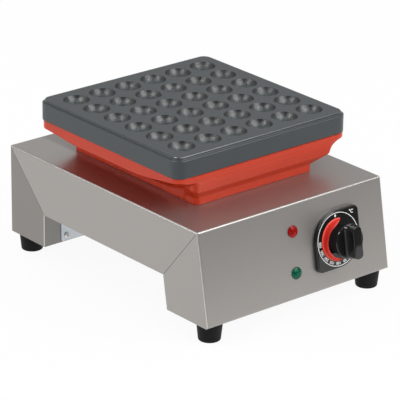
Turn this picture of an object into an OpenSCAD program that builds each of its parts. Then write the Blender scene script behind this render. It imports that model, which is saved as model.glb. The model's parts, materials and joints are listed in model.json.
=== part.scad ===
// Electric poffertjes maker: folded stainless housing, red cast plate carrier, dimpled baking plate.
// Millimetres, +Z up, front towards -Y. The origin is under the middle of the object, on the surface it stands on.
// Inside the modules z 0 is the housing's top sheet and y 0 is the middle of the baking plate.

/* [Housing] */
// Width of the housing
housing_w = 310; // [290:1:350]
// Depth of the top sheet, from the front fold to the back fold
housing_d = 387; // [375:1:430]
// Height of the housing above its feet
housing_h = 123; // [116:1:140]
// Distance from the front fold to the middle of the baking plate
plate_setback = 196; // [188:1:206]
// Lean of the front panel, in degrees from upright
front_lean = 10.2; // [6:0.2:14]
// Thickness of the stainless sheet
sheet_t = 1.5; // [1:0.1:2]
// Outer radius of the folds
fold_r = 2.5; // [2.2:0.1:4]
// Width of the open seams between the side flanges
seam_w = 0.5; // [0.3:0.1:0.8]
// Height of the arches in the sides
arch_h = 45.5; // [38:0.5:52]
// Width of the front legs, along the side
front_leg_w = 79; // [74:1:90]
// Width of the rear legs, along the side
rear_leg_w = 74.5; // [68:0.5:86]
// Width of the flanges turned in round the arches
arch_return_w = 45; // [40:1:55]

/* [Bottom cover] */
// Thickness of the bottom cover
cover_t = 1.2; // [0.8:0.1:2]
// Width by which the cover laps over the turned-in flanges
cover_lap = 18; // [14:1:26]
// Height of the cover's lower edges above the housing's bottom
cover_lift = 1; // [0.5:0.5:4]
// Radius of the cover's lower corners
cover_corner_r = 4; // [2:0.5:8]
// Height of the lower cover screws above the housing's bottom
cover_screw_up = 9; // [7:0.5:14]
// Diameter of the cover screws
cover_screw_d = 4; // [3:0.5:5]

/* [Feet] */
// Height of a foot
foot_h = 25; // [18:1:35]
// Diameter of a foot at its top
foot_top_d = 34; // [28:1:38]
// Diameter of a foot at its bottom
foot_bottom_d = 31; // [26:1:36]
// Radius of a foot's lower edge
foot_edge_r = 2; // [1:0.5:3]
// Distance from the housing's sides to the middle of a foot
foot_side_inset = 20.5; // [20:0.5:30]
// Distance from the bottom front fold to the middle of a front foot
foot_front_inset = 20; // [19:0.5:30]
// Distance from the back to the middle of a rear foot
foot_rear_inset = 19; // [18:0.5:30]
// Diameter of the foot screws
foot_screw_d = 6; // [5:0.5:8]
// Thickness of rubber that a foot screw clamps
foot_shelf = 6; // [4:0.5:9]

/* [Plate carrier] */
// Height of the carrier, from the housing to the baking plate
carrier_h = 49; // [46:0.5:56]
// Width of the plinth
plinth_w = 196; // [188:1:204]
// Depth of the plinth
plinth_d = 253; // [246:1:260]
// Height of the plinth
plinth_h = 9; // [7:0.5:11]
// Corner radius of the plinth
plinth_r = 8; // [5:0.5:12]
// Distance that the rim lies inside the baking plate's edge
rim_inset = 1.5; // [1:0.5:4]
// Height of the rim's upright band
rim_h = 13; // [6:0.5:15]
// Width of the rim's flat top, lip included
rim_ledge = 10; // [9:0.5:12]
// Thickness of the casting's walls
carrier_wall = 6; // [4:0.5:7]
// Thickness of the casting's floor
floor_t = 5; // [4:0.5:7]
// Width of the front apron's lower edge
apron_w = 244; // [224:1:250]
// Height of the apron's lower edge above the housing
apron_up = 20; // [15:0.5:26]
// Distance that the apron's lower edge stands behind the rim
apron_tuck = 6; // [3:0.5:9]
// Radius of the apron's ends, seen from above
apron_r = 14; // [12:1:26]
// Height of the lip that keeps the plate in place
lip_h = 5; // [3:0.5:6]
// Width of the lip
lip_w = 3; // [2:0.5:4]
// Height of the bosses for the carrier bolts
boss_h = 18; // [16:0.5:20]
// Diameter of the bosses
boss_d = 16; // [14:1:20]
// Distance between the carrier bolts across the object
bolt_span_x = 156; // [140:1:164]
// Distance between the carrier bolts from front to back
bolt_span_y = 208; // [196:1:214]
// Diameter of the carrier bolts
carrier_bolt_d = 6; // [5:0.5:8]

/* [Baking plate] */
// Width of the baking plate
plate_w = 287; // [280:1:296]
// Depth of the baking plate
plate_d = 288; // [280:1:296]
// Height of the baking plate
plate_h = 28; // [25:0.5:34]
// Corner radius of the baking plate
plate_r = 15; // [12:1:26]
// Radius of the plate's upper edge
plate_edge_r = 3.5; // [2:0.5:5]
// Dimples in a row
dimple_count = 6; // [4:1:6]
// Distance between neighbouring dimples
dimple_pitch = 43.4; // [40:0.2:45]
// Diameter of a dimple's mouth
dimple_d = 33.5; // [28:0.5:37]
// Depth of a dimple
dimple_depth = 11; // [8:0.5:13]
// Thickness of the plate's skirt
skirt_t = 8; // [7:0.5:10]
// Depth of the recess under the plate
recess_h = 8; // [7:0.5:9]
// Gap between the carrier's lip and the plate's skirt
lip_gap = 1; // [0.5:0.1:1.5]

/* [Heater] */
// Width and depth of the heater plate
heater_w = 236; // [220:1:246]
// Thickness of the heater plate
heater_t = 12; // [10:0.5:13]
// Gap between the heater plate and the baking plate
heater_gap = 0.3; // [0.2:0.1:0.6]
// Diameter of the tubular element
element_d = 8; // [6.5:0.5:9]
// Distance between the element's runs
run_pitch = 50; // [44:1:52]
// Distance from the middle to the ends of the straight runs
run_half = 75; // [64:1:80]
// Bend radius where the element's ends turn down
leg_bend_r = 12; // [10:0.5:14]
// Thickness of the insulation board
board_t = 10; // [6:0.5:11]
// Gap between the board and the carrier at the sides
board_side_gap = 2; // [1:0.5:4]
// Gap between the board and the carrier at the front and back
board_end_gap = 8.5; // [7:0.5:12]
// Width across the heater posts' flats
post_af = 10; // [8:0.5:12]
// Distance from the middle to the heater posts, front and back
post_half_y = 78; // [72:1:82]
// Diameter of the countersunk heater screws
heater_screw_d = 5; // [4:0.5:6]
// Thickness of the element clamps
clamp_t = 3; // [2:0.5:4]
// Width of the element clamps
clamp_w = 14; // [10:1:18]
// Distance from the middle to each element clamp
clamp_half_y = 40; // [30:1:50]
// Diameter of the clamp screws
clamp_screw_d = 4; // [3:0.5:5]
// Diameter of the thermostat bulb
bulb_d = 6; // [5:0.5:7]
// Length of the thermostat bulb
bulb_len = 95; // [70:1:110]

/* [Controls] */
// Knob's distance to the right of the middle
knob_x = 68; // [58:1:80]
// Knob's distance down the front panel
knob_down = 62.5; // [56:0.5:68]
// Radius of the bezel's round edge
bezel_r = 38; // [34:0.5:42]
// Radius of the bezel's two square corners
bezel_corner_r = 8; // [5:0.5:12]
// Thickness of the bezel
bezel_t = 6.5; // [6:0.5:9]
// Diameter of the knob's round base at its face
knob_d = 46; // [40:1:50]
// Diameter of the knob's round base where it meets the bezel
knob_waist_d = 35; // [30:1:40]
// Height of the round base's face above the panel
knob_base_top = 28; // [22:0.5:32]
// Height of the grip's face above the panel
knob_reach = 44; // [38:0.5:50]
// Width of the grip
grip_w = 17; // [12:0.5:20]
// Length of the grip
grip_len = 43; // [38:0.5:46]
// Gap between the knob and the bezel
knob_gap = 0.5; // [0.4:0.1:1]
// Diameter of the thermostat's spindle
spindle_d = 6; // [5:0.5:8]
// Distance between the two dial screws
dial_screw_span = 28; // [24:1:32]
// Diameter of the dial screws
dial_screw_d = 4; // [3:0.5:4.5]
// Width of the thermostat body
thermostat_w = 42; // [40:1:50]
// Height of the thermostat body
thermostat_h = 36; // [32:1:42]
// Depth of the thermostat body
thermostat_t = 28; // [25:1:34]
// Lamps' distance to the right of the middle
lamp_x = -2.5; // [-10:0.5:6]
// Red lamp's distance down the front panel
red_lamp_down = 35.5; // [30:0.5:40]
// Green lamp's distance down the front panel
green_lamp_down = 90.5; // [84:0.5:96]
// Diameter of a lamp lens
lens_d = 16; // [14:0.5:20]
// Height of a lamp lens
lens_h = 4; // [3:0.5:7]
// Diameter of a lamp body
lamp_d = 12; // [9:0.5:12.5]
// Depth of a lamp body behind the panel
lamp_len = 22; // [18:1:28]

/* [Power entry] */
// Gland's distance to the right of the middle
gland_x = -60; // [-80:1:-40]
// Gland's height above the housing's bottom
gland_up = 30; // [24:1:36]
// Diameter of the gland's thread
gland_d = 16; // [14:0.5:20]
// Width across the gland's flats
gland_af = 22; // [21:0.5:26]
// Diameter of the cable hole
cable_d = 9; // [6:0.5:10]
// Thickness of the gland's wall inside its thread
gland_wall = 2.5; // [1.5:0.5:3]
// Thickness of the gland's hexagon
gland_hex_t = 5; // [4:0.5:7]
// Length of the gland's clamping nut
gland_cap_len = 14; // [10:1:18]
// Length of the gland's thread behind the outer face
gland_thread_len = 12; // [10:1:16]
// Terminal block's distance to the right of the middle
block_x = 30; // [20:1:44]
// Terminal block's distance below the top sheet
block_down = 45; // [34:1:52]
// Width of the terminal block
block_w = 78; // [74:1:84]
// Height of the terminal block
block_h = 22; // [18:1:26]
// Depth of the terminal block
block_t = 18; // [14:1:22]
// Diameter of the terminal block's screws
block_screw_d = 3; // [2.5:0.5:4]
// Distance of the lead bush in front of the plate's middle
bush_front = 90; // [80:1:96]
// Diameter of the bush's hole
bush_d = 16; // [14:0.5:20]
// Diameter of the leads
lead_d = 2.6; // [2:0.2:3]
// Diameter of the capillary tube
capillary_d = 2; // [1.6:0.2:2.6]

/* [Hidden] */
$fn = 64;

// Radial gaps: a thread in its hole, a turning spindle, a clearance hole
thread_gap = 0.05;
spindle_gap = 0.05;
hole_gap = 0.25;
// A cut runs this far past the face it opens
past = 1;

// Proportions of the fasteners' heads
head_ratio = 2;
head_h_ratio = 0.65;
hex_ratio = 1.7;
hex_h_ratio = 0.7;
nut_h_ratio = 0.8;
drive_slot_ratio = 0.25;
washer_ratio = 3;
washer_t = 1.6;
screw_bite = 6;

front_y = -plate_setback;
back_y = housing_d - plate_setback;
arch_z = arch_h - housing_h;
rear_leg_y = back_y - rear_leg_w;
stand_z = housing_h + foot_h;
panel_len = housing_h / cos(front_lean);

rim_w = plate_w - 2 * rim_inset;
rim_d = plate_d - 2 * rim_inset;
rim_r = plate_r - rim_inset;
rim_z = carrier_h - rim_h;
cavity_w = rim_w - 2 * rim_ledge;
cavity_d = rim_d - 2 * rim_ledge;
cavity_r = rim_r - rim_ledge / 2;
heater_top = carrier_h + recess_h - heater_gap;
heater_z = heater_top - heater_t;
element_z = heater_z - element_d / 2;
clamp_z = element_z - element_d / 2 - clamp_t;
plate_top = carrier_h + plate_h;
leg_y = run_half + leg_bend_r;
leg_x = 1.5 * run_pitch;
leg_end_z = boss_h - 1;
board_w = plinth_w - 2 * (carrier_wall + board_side_gap);
board_d = plinth_d - 2 * (carrier_wall + board_end_gap);

cover_w = housing_w - 2 * arch_return_w + 2 * cover_lap;
cover_screw_x = housing_w / 2 - arch_return_w + cover_lap / 2;

// The object reaches from the grip's lower end in front to the gland's cap behind.
front_reach = front_point(knob_x, knob_down + grip_len / 2, knob_reach)[1];
back_reach = back_y + gland_hex_t + gland_cap_len;
middle_y = (front_reach + back_reach) / 2;

// Places of the thermostat's tabs on its back, right of and above its middle
tab_x = thermostat_w / 3;
tab_y = thermostat_h / 4;
tab_len = 8;
tab_w = 4;
tab_t = 1.2;
lamp_tab_x = lamp_d / 4;
bush_wall = 3;
bush_flange_w = 6;
bush_outer_d = bush_d + 2 * bush_wall;
bush_flange_d = bush_d + 2 * bush_flange_w;
bush_flange_t = 2;
port_pitch = 12;

// Y of the front panel's face at height z, or of a face lying in behind it
function front_at(z, in = 0) = front_y + z * tan(front_lean) + in / cos(front_lean);

// A point u right of the middle, down the front panel and out from its face
function front_point(u, down, out) = [
  u,
  front_y - down * sin(front_lean) - out * cos(front_lean),
  -down * cos(front_lean) + out * sin(front_lean)
];
panel_out = [0, -cos(front_lean), sin(front_lean)];

function unit(v) = v / norm(v);

// Corner of a convex outline: tangent points and centre of its rounding
function corner_in(p, i) = unit(p[(i + len(p) - 1) % len(p)] - p[i]);
function corner_out(p, i) = unit(p[(i + 1) % len(p)] - p[i]);
function corner_half(p, i) = acos(corner_in(p, i) * corner_out(p, i)) / 2;
function corner_centre(p, i, r) =
  p[i] + unit(corner_in(p, i) + corner_out(p, i)) * r / sin(corner_half(p, i));
function corner_tangents(p, i, r) =
  let (t = r / tan(corner_half(p, i))) [p[i] + corner_in(p, i) * t, p[i] + corner_out(p, i) * t];

module rounded_polygon(points, r) {
  polygon([for (i = [0:len(points) - 1]) each corner_tangents(points, i, r)]);
  for (i = [0:len(points) - 1])
    translate(corner_centre(points, i, r)) circle(r);
}

module rounded_rect(w, d, r) {
  square([w - 2 * r, d], center = true);
  square([w, d - 2 * r], center = true);
  for (sx = [-1, 1], sy = [-1, 1])
    translate([sx * (w / 2 - r), sy * (d / 2 - r)]) circle(r);
}

// An outline in y and z, run along x; and one in x and z, run along y
module along_x(length) rotate([90, 0, 90]) linear_extrude(length, center = true) children();
module along_y(length) rotate([90, 0, 0]) linear_extrude(length, center = true) children();

// On the front panel's face: x right, y up the panel, z outwards
module on_front(u, down)
  translate(front_point(u, down, 0)) rotate([90 - front_lean, 0, 0]) children();

// On the back panel's face: z outwards
module on_back(x, z) translate([x, back_y, z]) rotate([-90, 0, 0]) children();

module at_corners(span_x, span_y)
  for (sx = [-1, 1], sy = [-1, 1]) translate([sx * span_x / 2, sy * span_y / 2, 0]) children();

// The whole object stands on z 0 with its middle over the origin.
module placed() translate([0, -middle_y, stand_z]) children();

// Fasteners, with the head's seat at z 0 and the shank going down
module pan_screw(d, length) {
  head_h = head_h_ratio * d;
  difference() {
    cylinder(d = head_ratio * d, h = head_h);
    translate([0, 0, head_h]) cube([3 * d, drive_slot_ratio * d, head_h], center = true);
  }
  translate([0, 0, -length]) cylinder(d = d, h = length);
}
module hex_prism(af, h) cylinder(r = af / 2 / cos(30), h = h, $fn = 6);
module hex_bolt(d, length) {
  hex_prism(hex_ratio * d, hex_h_ratio * d);
  translate([0, 0, -length]) cylinder(d = d, h = length);
}
module hex_nut(af, d, h) difference() {
  hex_prism(af, h);
  translate([0, 0, -past]) cylinder(r = d / 2 + thread_gap, h = h + 2 * past);
}
module drill(d, gap, depth) cylinder(r = d / 2 + gap, h = 2 * depth, center = true);

// A tube swept along a smooth curve through points, square to its two end directions
function headings(p, first, last) = [
  for (i = [0:len(p) - 1])
    i == 0 ? first : i == len(p) - 1 ? last : unit(p[i + 1] - p[i - 1])
];
function between(a, b, from, to, t) =
  let (pull = norm(b - a))
  (2 * t * t * t - 3 * t * t + 1) * a + (t * t * t - 2 * t * t + t) * pull * from
    + (3 * t * t - 2 * t * t * t) * b + (t * t * t - t * t) * pull * to;
lead_steps = 3;
lead_sides = 8;
function curve(p, first, last) =
  let (h = headings(p, first, last))
  concat(
    [
      for (i = [0:len(p) - 2], k = [0:lead_steps - 1])
        between(p[i], p[i + 1], h[i], h[i + 1], k / lead_steps)
    ],
    [p[len(p) - 1]]
  );
function carried(t, n, i = 0) =
  i == len(t) ? [] : let (m = unit(n - (n * t[i]) * t[i])) concat([m], carried(t, m, i + 1));
module lead(points, d, first, last) {
  p = curve(points, first, last);
  t = headings(p, first, last);
  n = carried(t, unit(cross(t[0], [0.36, 0.48, 0.8])));
  rings = len(p);
  verts = [
    for (i = [0:rings - 1], k = [0:lead_sides - 1])
      let (a = 360 * k / lead_sides)
        p[i] + d / 2 * (cos(a) * n[i] + sin(a) * cross(t[i], n[i]))
  ];
  walls = [
    for (i = [0:rings - 2], k = [0:lead_sides - 1])
      let (
        a = i * lead_sides + k,
        b = i * lead_sides + (k + 1) % lead_sides,
        c = a + lead_sides,
        e = b + lead_sides
      )
      each [[a, c, b], [b, c, e]]
  ];
  last_ring = (rings - 1) * lead_sides;
  caps = [
    for (k = [1:lead_sides - 2])
      each [[0, k, k + 1], [last_ring, last_ring + k + 1, last_ring + k]]
  ];
  polyhedron(verts, concat(walls, caps));
}

// Housing
function side_outline(in) = [
  [front_at(in - housing_h, in), in - housing_h],
  [back_y - in, in - housing_h],
  [back_y - in, -in],
  [front_at(-in, in), -in]
];
module body_block(in) {
  r = fold_r - in;
  w = housing_w - 2 * in;
  intersection() {
    along_x(w) rounded_polygon(side_outline(in), r);
    along_y(4 * housing_d) translate([0, -in - housing_h]) rounded_rect(w, 2 * housing_h, r);
    on_front(0, 0) along_y(4 * housing_h)
      translate([0, -in - housing_d]) rounded_rect(w, 2 * housing_d, r);
    linear_extrude(4 * housing_h, center = true)
      translate([0, back_y - in - housing_d]) rounded_rect(w, 2 * housing_d, r);
  }
}

function arch_outline(grow) =
  let (
    low = -housing_h - arch_h,
    top = arch_z + grow,
    leg = front_leg_w - grow / cos(front_lean)
  )
  [
    [front_at(low) + leg, low],
    [rear_leg_y + grow, low],
    [rear_leg_y + grow, top],
    [front_at(top) + leg, top]
  ];
module arch(grow, width) along_x(width) polygon(arch_outline(grow));

// Flanges turned in round both arches
module arch_returns() {
  w = arch_return_w - sheet_t / 2;
  for (side = [-1, 1]) intersection() {
    difference() {
      arch(sheet_t, 2 * housing_w);
      arch(0, 3 * housing_w);
    }
    translate([side * (housing_w / 2 - arch_return_w + w / 2) - w / 2, front_y - housing_h, -housing_h])
      cube([w, 2 * housing_d, housing_h]);
  }
}

// Open seam in both sides, from a fold's corner to an arch's corner
module seam(from, to) {
  along = unit(to - from);
  across = [-along[1], along[0]] * seam_w / 2;
  start = from + along * 2 * fold_r;
  end = to + along * past;
  for (side = [-1, 1])
    translate([side * (housing_w / 2 - sheet_t / 2 + past / 2), 0, 0])
      along_x(sheet_t + past) polygon([start - across, end - across, end + across, start + across]);
}

// Seats of the cover screws on the turned-in flanges, z towards the arch
module at_cover_screws() for (side = [-1, 1]) {
  low = cover_screw_up - housing_h;
  x = side * cover_screw_x;
  translate([x, rear_leg_y, low]) rotate([90, 0, 0]) children();
  translate([x, front_at(low) + front_leg_w, low]) rotate([-90 - front_lean, 0, 0]) children();
  translate([x, (front_at(arch_z) + front_leg_w + rear_leg_y) / 2, arch_z]) rotate([180, 0, 0]) children();
}

function foot_place(side, rear) = [
  side * (housing_w / 2 - foot_side_inset),
  rear ? back_y - foot_rear_inset : front_at(-housing_h) + foot_front_inset,
  -housing_h
];
module at_feet() for (side = [-1, 1], rear = [false, true]) translate(foot_place(side, rear)) children();

module at_dial_screws()
  for (side = [-1, 1]) on_front(knob_x + side * dial_screw_span / 2, knob_down) children();

module at_lamps() for (down = [red_lamp_down, green_lamp_down]) on_front(lamp_x, down) children();

module at_block_screws() for (side = [-1, 1])
  on_back(block_x + side * (block_w / 2 - 2 * block_screw_d), -block_down) children();

dial_hole_d = 2 * spindle_d;
module housing_shell() color("silver") placed() difference() {
  union() {
    difference() {
      body_block(0);
      body_block(sheet_t);
      arch(0, 2 * housing_w);
    }
    arch_returns();
  }
  seam([back_y, 0], [rear_leg_y, arch_z]);
  seam([front_y, 0], [front_at(arch_z) + front_leg_w, arch_z]);
  at_feet() drill(foot_screw_d, hole_gap, 2 * sheet_t);
  at_cover_screws() drill(cover_screw_d, thread_gap, 2 * sheet_t);
  on_front(knob_x, knob_down) drill(dial_hole_d, 0, 2 * sheet_t);
  at_dial_screws() drill(dial_screw_d, hole_gap, 2 * sheet_t);
  at_lamps() drill(lamp_d, hole_gap, 2 * sheet_t);
  at_corners(bolt_span_x, bolt_span_y) drill(carrier_bolt_d, hole_gap, 2 * sheet_t);
  translate([0, -bush_front, 0]) drill(bush_outer_d, hole_gap, 2 * sheet_t);
  on_back(gland_x, gland_up - housing_h) drill(gland_d, hole_gap, 2 * sheet_t);
  at_block_screws() drill(block_screw_d, thread_gap, 2 * sheet_t);
}

module bottom_cover() color("lightsteelblue") placed() difference() {
  intersection() {
    difference() {
      arch(0, cover_w);
      arch(-cover_t, 2 * cover_w);
    }
    along_y(4 * housing_d)
      translate([0, cover_lift]) rounded_rect(cover_w, 2 * housing_h, cover_corner_r);
  }
  at_cover_screws() drill(cover_screw_d, hole_gap, 2 * cover_t);
}

module cover_screws() color("gainsboro") placed()
  at_cover_screws() translate([0, 0, cover_t]) pan_screw(cover_screw_d, cover_t + sheet_t + screw_bite);

// Feet
foot_bore_r = head_ratio * foot_screw_d / 2 + 2 * past;
module foot(side, rear) color([0.12, 0.12, 0.11]) placed() translate(foot_place(side, rear))
  rotate_extrude() difference() {
    polygon([
      [0, 0],
      [foot_top_d / 2, 0],
      [foot_bottom_d / 2, foot_edge_r - foot_h],
      [foot_bottom_d / 2 - foot_edge_r, -foot_h],
      [0, -foot_h]
    ]);
    translate([-past, -foot_h - past]) square([past + foot_bore_r, foot_h - foot_shelf + past]);
    translate([-past, -foot_h]) square([past + foot_screw_d / 2 + hole_gap, foot_h + past]);
  }
module foot_front_left() foot(-1, false);
module foot_front_right() foot(1, false);
module foot_rear_left() foot(-1, true);
module foot_rear_right() foot(1, true);

foot_nut_h = nut_h_ratio * foot_screw_d;
module foot_screws() color("gainsboro") placed() at_feet() translate([0, 0, -foot_shelf])
  rotate([180, 0, 0]) pan_screw(foot_screw_d, foot_shelf + sheet_t + foot_nut_h + past);
module foot_nuts() color("gainsboro") placed() at_feet() translate([0, 0, sheet_t])
  hex_nut(hex_ratio * foot_screw_d, foot_screw_d, foot_nut_h);

// Plate carrier: plinth, flare, rim and front apron, hollow, with bosses on its floor
flare_lap = 1;
module slab(w, d, r, h) linear_extrude(h) rounded_rect(w, d, r, $fn = 32);
module flare() hull() {
  translate([0, 0, plinth_h - flare_lap])
    slab(plinth_w - flare_lap, plinth_d - flare_lap, plinth_r, flare_lap);
  translate([0, 0, rim_z]) slab(rim_w - 2 * flare_lap, rim_d - 2 * flare_lap, rim_r, flare_lap);
}
module cavity() {
  well_w = plinth_w - 2 * carrier_wall;
  well_d = plinth_d - 2 * carrier_wall;
  well_top = plinth_h + carrier_wall;
  translate([0, 0, floor_t]) linear_extrude(well_top - floor_t + flare_lap)
    rounded_rect(well_w, well_d, plinth_r);
  hull() {
    translate([0, 0, well_top]) slab(well_w - flare_lap, well_d - flare_lap, plinth_r, flare_lap);
    translate([0, 0, carrier_h - carrier_wall])
      slab(cavity_w - flare_lap, cavity_d - flare_lap, cavity_r, flare_lap);
  }
  translate([0, 0, carrier_h - carrier_wall]) linear_extrude(carrier_wall + lip_h + past)
    rounded_rect(cavity_w, cavity_d, cavity_r);
}
// The apron bulges out under the rim in front: its face leans in to a lower edge, its underside to the plinth.
apron_d = 2.5 * apron_r;
module apron_slab(w, d, front, r, z) translate([0, front + d / 2, z]) slab(w, d, r, flare_lap);
module apron() {
  lower_front = apron_tuck - rim_d / 2;
  hull() {
    apron_slab(apron_w + apron_tuck, apron_d, flare_lap / 4 - rim_d / 2, apron_r, rim_z);
    apron_slab(apron_w, apron_d, lower_front, apron_r, apron_up);
  }
  hull() {
    apron_slab(apron_w - flare_lap, apron_d, lower_front + flare_lap / 2, apron_r, apron_up);
    apron_slab(
      plinth_w - flare_lap, apron_d, (flare_lap - plinth_d) / 2, plinth_r, plinth_h - flare_lap
    );
  }
}
lip_outer_w = plate_w - 2 * (skirt_t + lip_gap);
lip_outer_d = plate_d - 2 * (skirt_t + lip_gap);
module plate_carrier() color([0.75, 0.3, 0.22]) placed() difference() {
  union() {
    difference() {
      union() {
        linear_extrude(plinth_h) rounded_rect(plinth_w, plinth_d, plinth_r);
        flare();
        translate([0, 0, rim_z]) linear_extrude(rim_h) rounded_rect(rim_w, rim_d, rim_r);
        apron();
        translate([0, 0, rim_z]) linear_extrude(rim_h + lip_h)
          rounded_rect(lip_outer_w, lip_outer_d, cavity_r + lip_w);
      }
      cavity();
    }
    at_corners(bolt_span_x, bolt_span_y) cylinder(d = boss_d, h = boss_h);
  }
  at_corners(bolt_span_x, bolt_span_y) drill(carrier_bolt_d, thread_gap, boss_h - floor_t);
  translate([0, -bush_front, 0]) drill(bush_outer_d, hole_gap, 2 * floor_t);
  at_corners(2 * run_pitch, 2 * post_half_y) translate([0, 0, floor_t])
    drill(heater_screw_d, thread_gap, post_stud_len + past / 4);
}

module carrier_bolts() color("gainsboro") placed() at_corners(bolt_span_x, bolt_span_y)
  translate([0, 0, -sheet_t - washer_t]) rotate([180, 0, 0])
    hex_bolt(carrier_bolt_d, sheet_t + washer_t + boss_h - floor_t - past);
module carrier_washers() color("gainsboro") placed() at_corners(bolt_span_x, bolt_span_y)
  translate([0, 0, -sheet_t - washer_t]) difference() {
    cylinder(d = washer_ratio * carrier_bolt_d, h = washer_t);
    drill(carrier_bolt_d, hole_gap, 2 * washer_t);
  }

// Baking plate: a slab with a rounded upper edge, a dimple at each crossing of its grid and a recess below
module edged_profile(half_w, h, r) {
  square([half_w, h - r]);
  square([half_w - r, h]);
  translate([half_w - r, h - r]) circle(r);
}
module edged_slab(w, d, h, corner_r, edge_r) {
  for (side = [0, 1]) {
    mirror([side, 0, 0]) along_y(d - 2 * corner_r) edged_profile(w / 2, h, edge_r);
    mirror([0, side, 0]) along_x(w - 2 * corner_r) edged_profile(d / 2, h, edge_r);
  }
  at_corners(w - 2 * corner_r, d - 2 * corner_r) rotate_extrude() edged_profile(corner_r, h, edge_r);
}
dimple_sphere_r = (dimple_d * dimple_d / 4 + dimple_depth * dimple_depth) / (2 * dimple_depth);
module at_dimples() for (i = [1:dimple_count], j = [1:dimple_count])
  translate([(i - (dimple_count + 1) / 2) * dimple_pitch, (j - (dimple_count + 1) / 2) * dimple_pitch, 0])
    children();
module baking_plate() color([0.38, 0.39, 0.4]) placed() translate([0, 0, carrier_h]) difference() {
  edged_slab(plate_w, plate_d, plate_h, plate_r, plate_edge_r);
  translate([0, 0, -past]) linear_extrude(recess_h + past)
    rounded_rect(plate_w - 2 * skirt_t, plate_d - 2 * skirt_t, cavity_r + lip_w);
  at_dimples() translate([0, 0, plate_h - dimple_depth + dimple_sphere_r]) sphere(dimple_sphere_r);
}

// Heater under the baking plate
module heater_plate() color("lightgray") placed() difference() {
  translate([0, 0, heater_z]) linear_extrude(heater_t) rounded_rect(heater_w, heater_w, plate_r / 2);
  at_corners(2 * run_pitch, 2 * post_half_y) translate([0, 0, heater_top]) {
    drill(heater_screw_d, hole_gap, 2 * heater_t);
    translate([0, 0, -heater_screw_d / 2]) cylinder(
      r1 = heater_screw_d / 2 + hole_gap,
      r2 = heater_screw_d + hole_gap + past,
      h = heater_screw_d / 2 + past
    );
  }
  at_clamp_screws() drill(clamp_screw_d, thread_gap, clamp_grip + heater_t / 2 + past);
  translate([0, bulb_front, heater_z + heater_t / 2]) rotate([-90, 0, 0])
    drill(bulb_d, bulb_gap, bulb_len + past);
  translate([-notch_w / 2, -heater_w, heater_z - past])
    cube([notch_w, heater_w + bulb_front, heater_t + 2 * past]);
}
// The bulb starts at the back of a notch in the plate's front edge, where its tube has room to turn down.
bulb_room = 15.5;
bulb_front = max(past - heater_w / 2, bulb_room - cavity_d / 2);
bulb_gap = 0.2;
notch_w = 10;
clamp_grip = clamp_t + element_d;
module at_clamp_screws()
  at_corners(2 * run_pitch, 2 * clamp_half_y) translate([0, 0, clamp_z]) children();

module tube_run(x, length) translate([x, 0, element_z]) rotate([90, 0, 0])
  cylinder(d = element_d, h = length, center = true);
module tube_bend(r, turn) rotate_extrude(angle = turn) translate([r, 0]) circle(d = element_d);
module heating_element() color("dimgray") placed() {
  for (side = [-1, 1]) {
    tube_run(side * run_pitch / 2, 2 * run_half);
    tube_run(side * leg_x, 2 * run_half);
    translate([side * run_pitch, -run_half, element_z]) rotate([0, 0, 180]) tube_bend(run_pitch / 2, 180);
    translate([side * leg_x, run_half, element_z - leg_bend_r]) rotate([90, 0, 90]) tube_bend(leg_bend_r, 90);
    translate([side * leg_x, leg_y, leg_end_z])
      cylinder(d = element_d, h = element_z - leg_bend_r - leg_end_z);
  }
  translate([0, run_half, element_z]) tube_bend(run_pitch / 2, 180);
}

module element_clamps() color("gainsboro") placed() for (sy = [-1, 1])
  difference() {
    translate([0, sy * clamp_half_y, clamp_z]) linear_extrude(clamp_t)
      rounded_rect(2 * leg_x + 2 * element_d, clamp_w, clamp_w / 3);
    at_clamp_screws() drill(clamp_screw_d, hole_gap, 2 * clamp_t);
  }
module clamp_screws() color("gainsboro") placed() at_clamp_screws()
  rotate([180, 0, 0]) pan_screw(clamp_screw_d, clamp_grip + heater_t / 2);

post_stud_len = floor_t - past;
post_thread = 14;
module heater_posts() color("gainsboro") placed() at_corners(2 * run_pitch, 2 * post_half_y)
  difference() {
    union() {
      translate([0, 0, floor_t]) hex_prism(post_af, heater_z - floor_t);
      translate([0, 0, floor_t - post_stud_len]) cylinder(d = heater_screw_d, h = post_stud_len);
    }
    translate([0, 0, heater_z]) drill(heater_screw_d, thread_gap, post_thread);
  }
module heater_screws() color("gainsboro") placed() at_corners(2 * run_pitch, 2 * post_half_y)
  translate([0, 0, heater_top - heater_screw_d / 2]) difference() {
    union() {
      cylinder(r1 = heater_screw_d / 2, r2 = heater_screw_d - past / 4, h = heater_screw_d / 2 - past / 4);
      translate([0, 0, heater_screw_d / 2 - heater_t - post_thread + past])
        cylinder(d = heater_screw_d, h = heater_t + post_thread - past - heater_screw_d / 2);
    }
    translate([0, 0, heater_screw_d / 4]) hex_prism(0.6 * heater_screw_d, heater_screw_d / 2);
  }

module insulation_board() color("antiquewhite") placed() difference() {
  translate([0, 0, boss_h]) linear_extrude(board_t) rounded_rect(board_w, board_d, plinth_r);
  at_corners(2 * run_pitch, 2 * post_half_y) drill(post_af, 2 * past, 2 * (boss_h + board_t));
  for (side = [-1, 1]) translate([side * leg_x, leg_y, 0]) drill(element_d, 2 * past, 2 * (boss_h + board_t));
}

module thermostat_bulb() color("goldenrod") placed()
  translate([0, bulb_front, heater_z + heater_t / 2]) rotate([-90, 0, 0]) cylinder(d = bulb_d, h = bulb_len);

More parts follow.
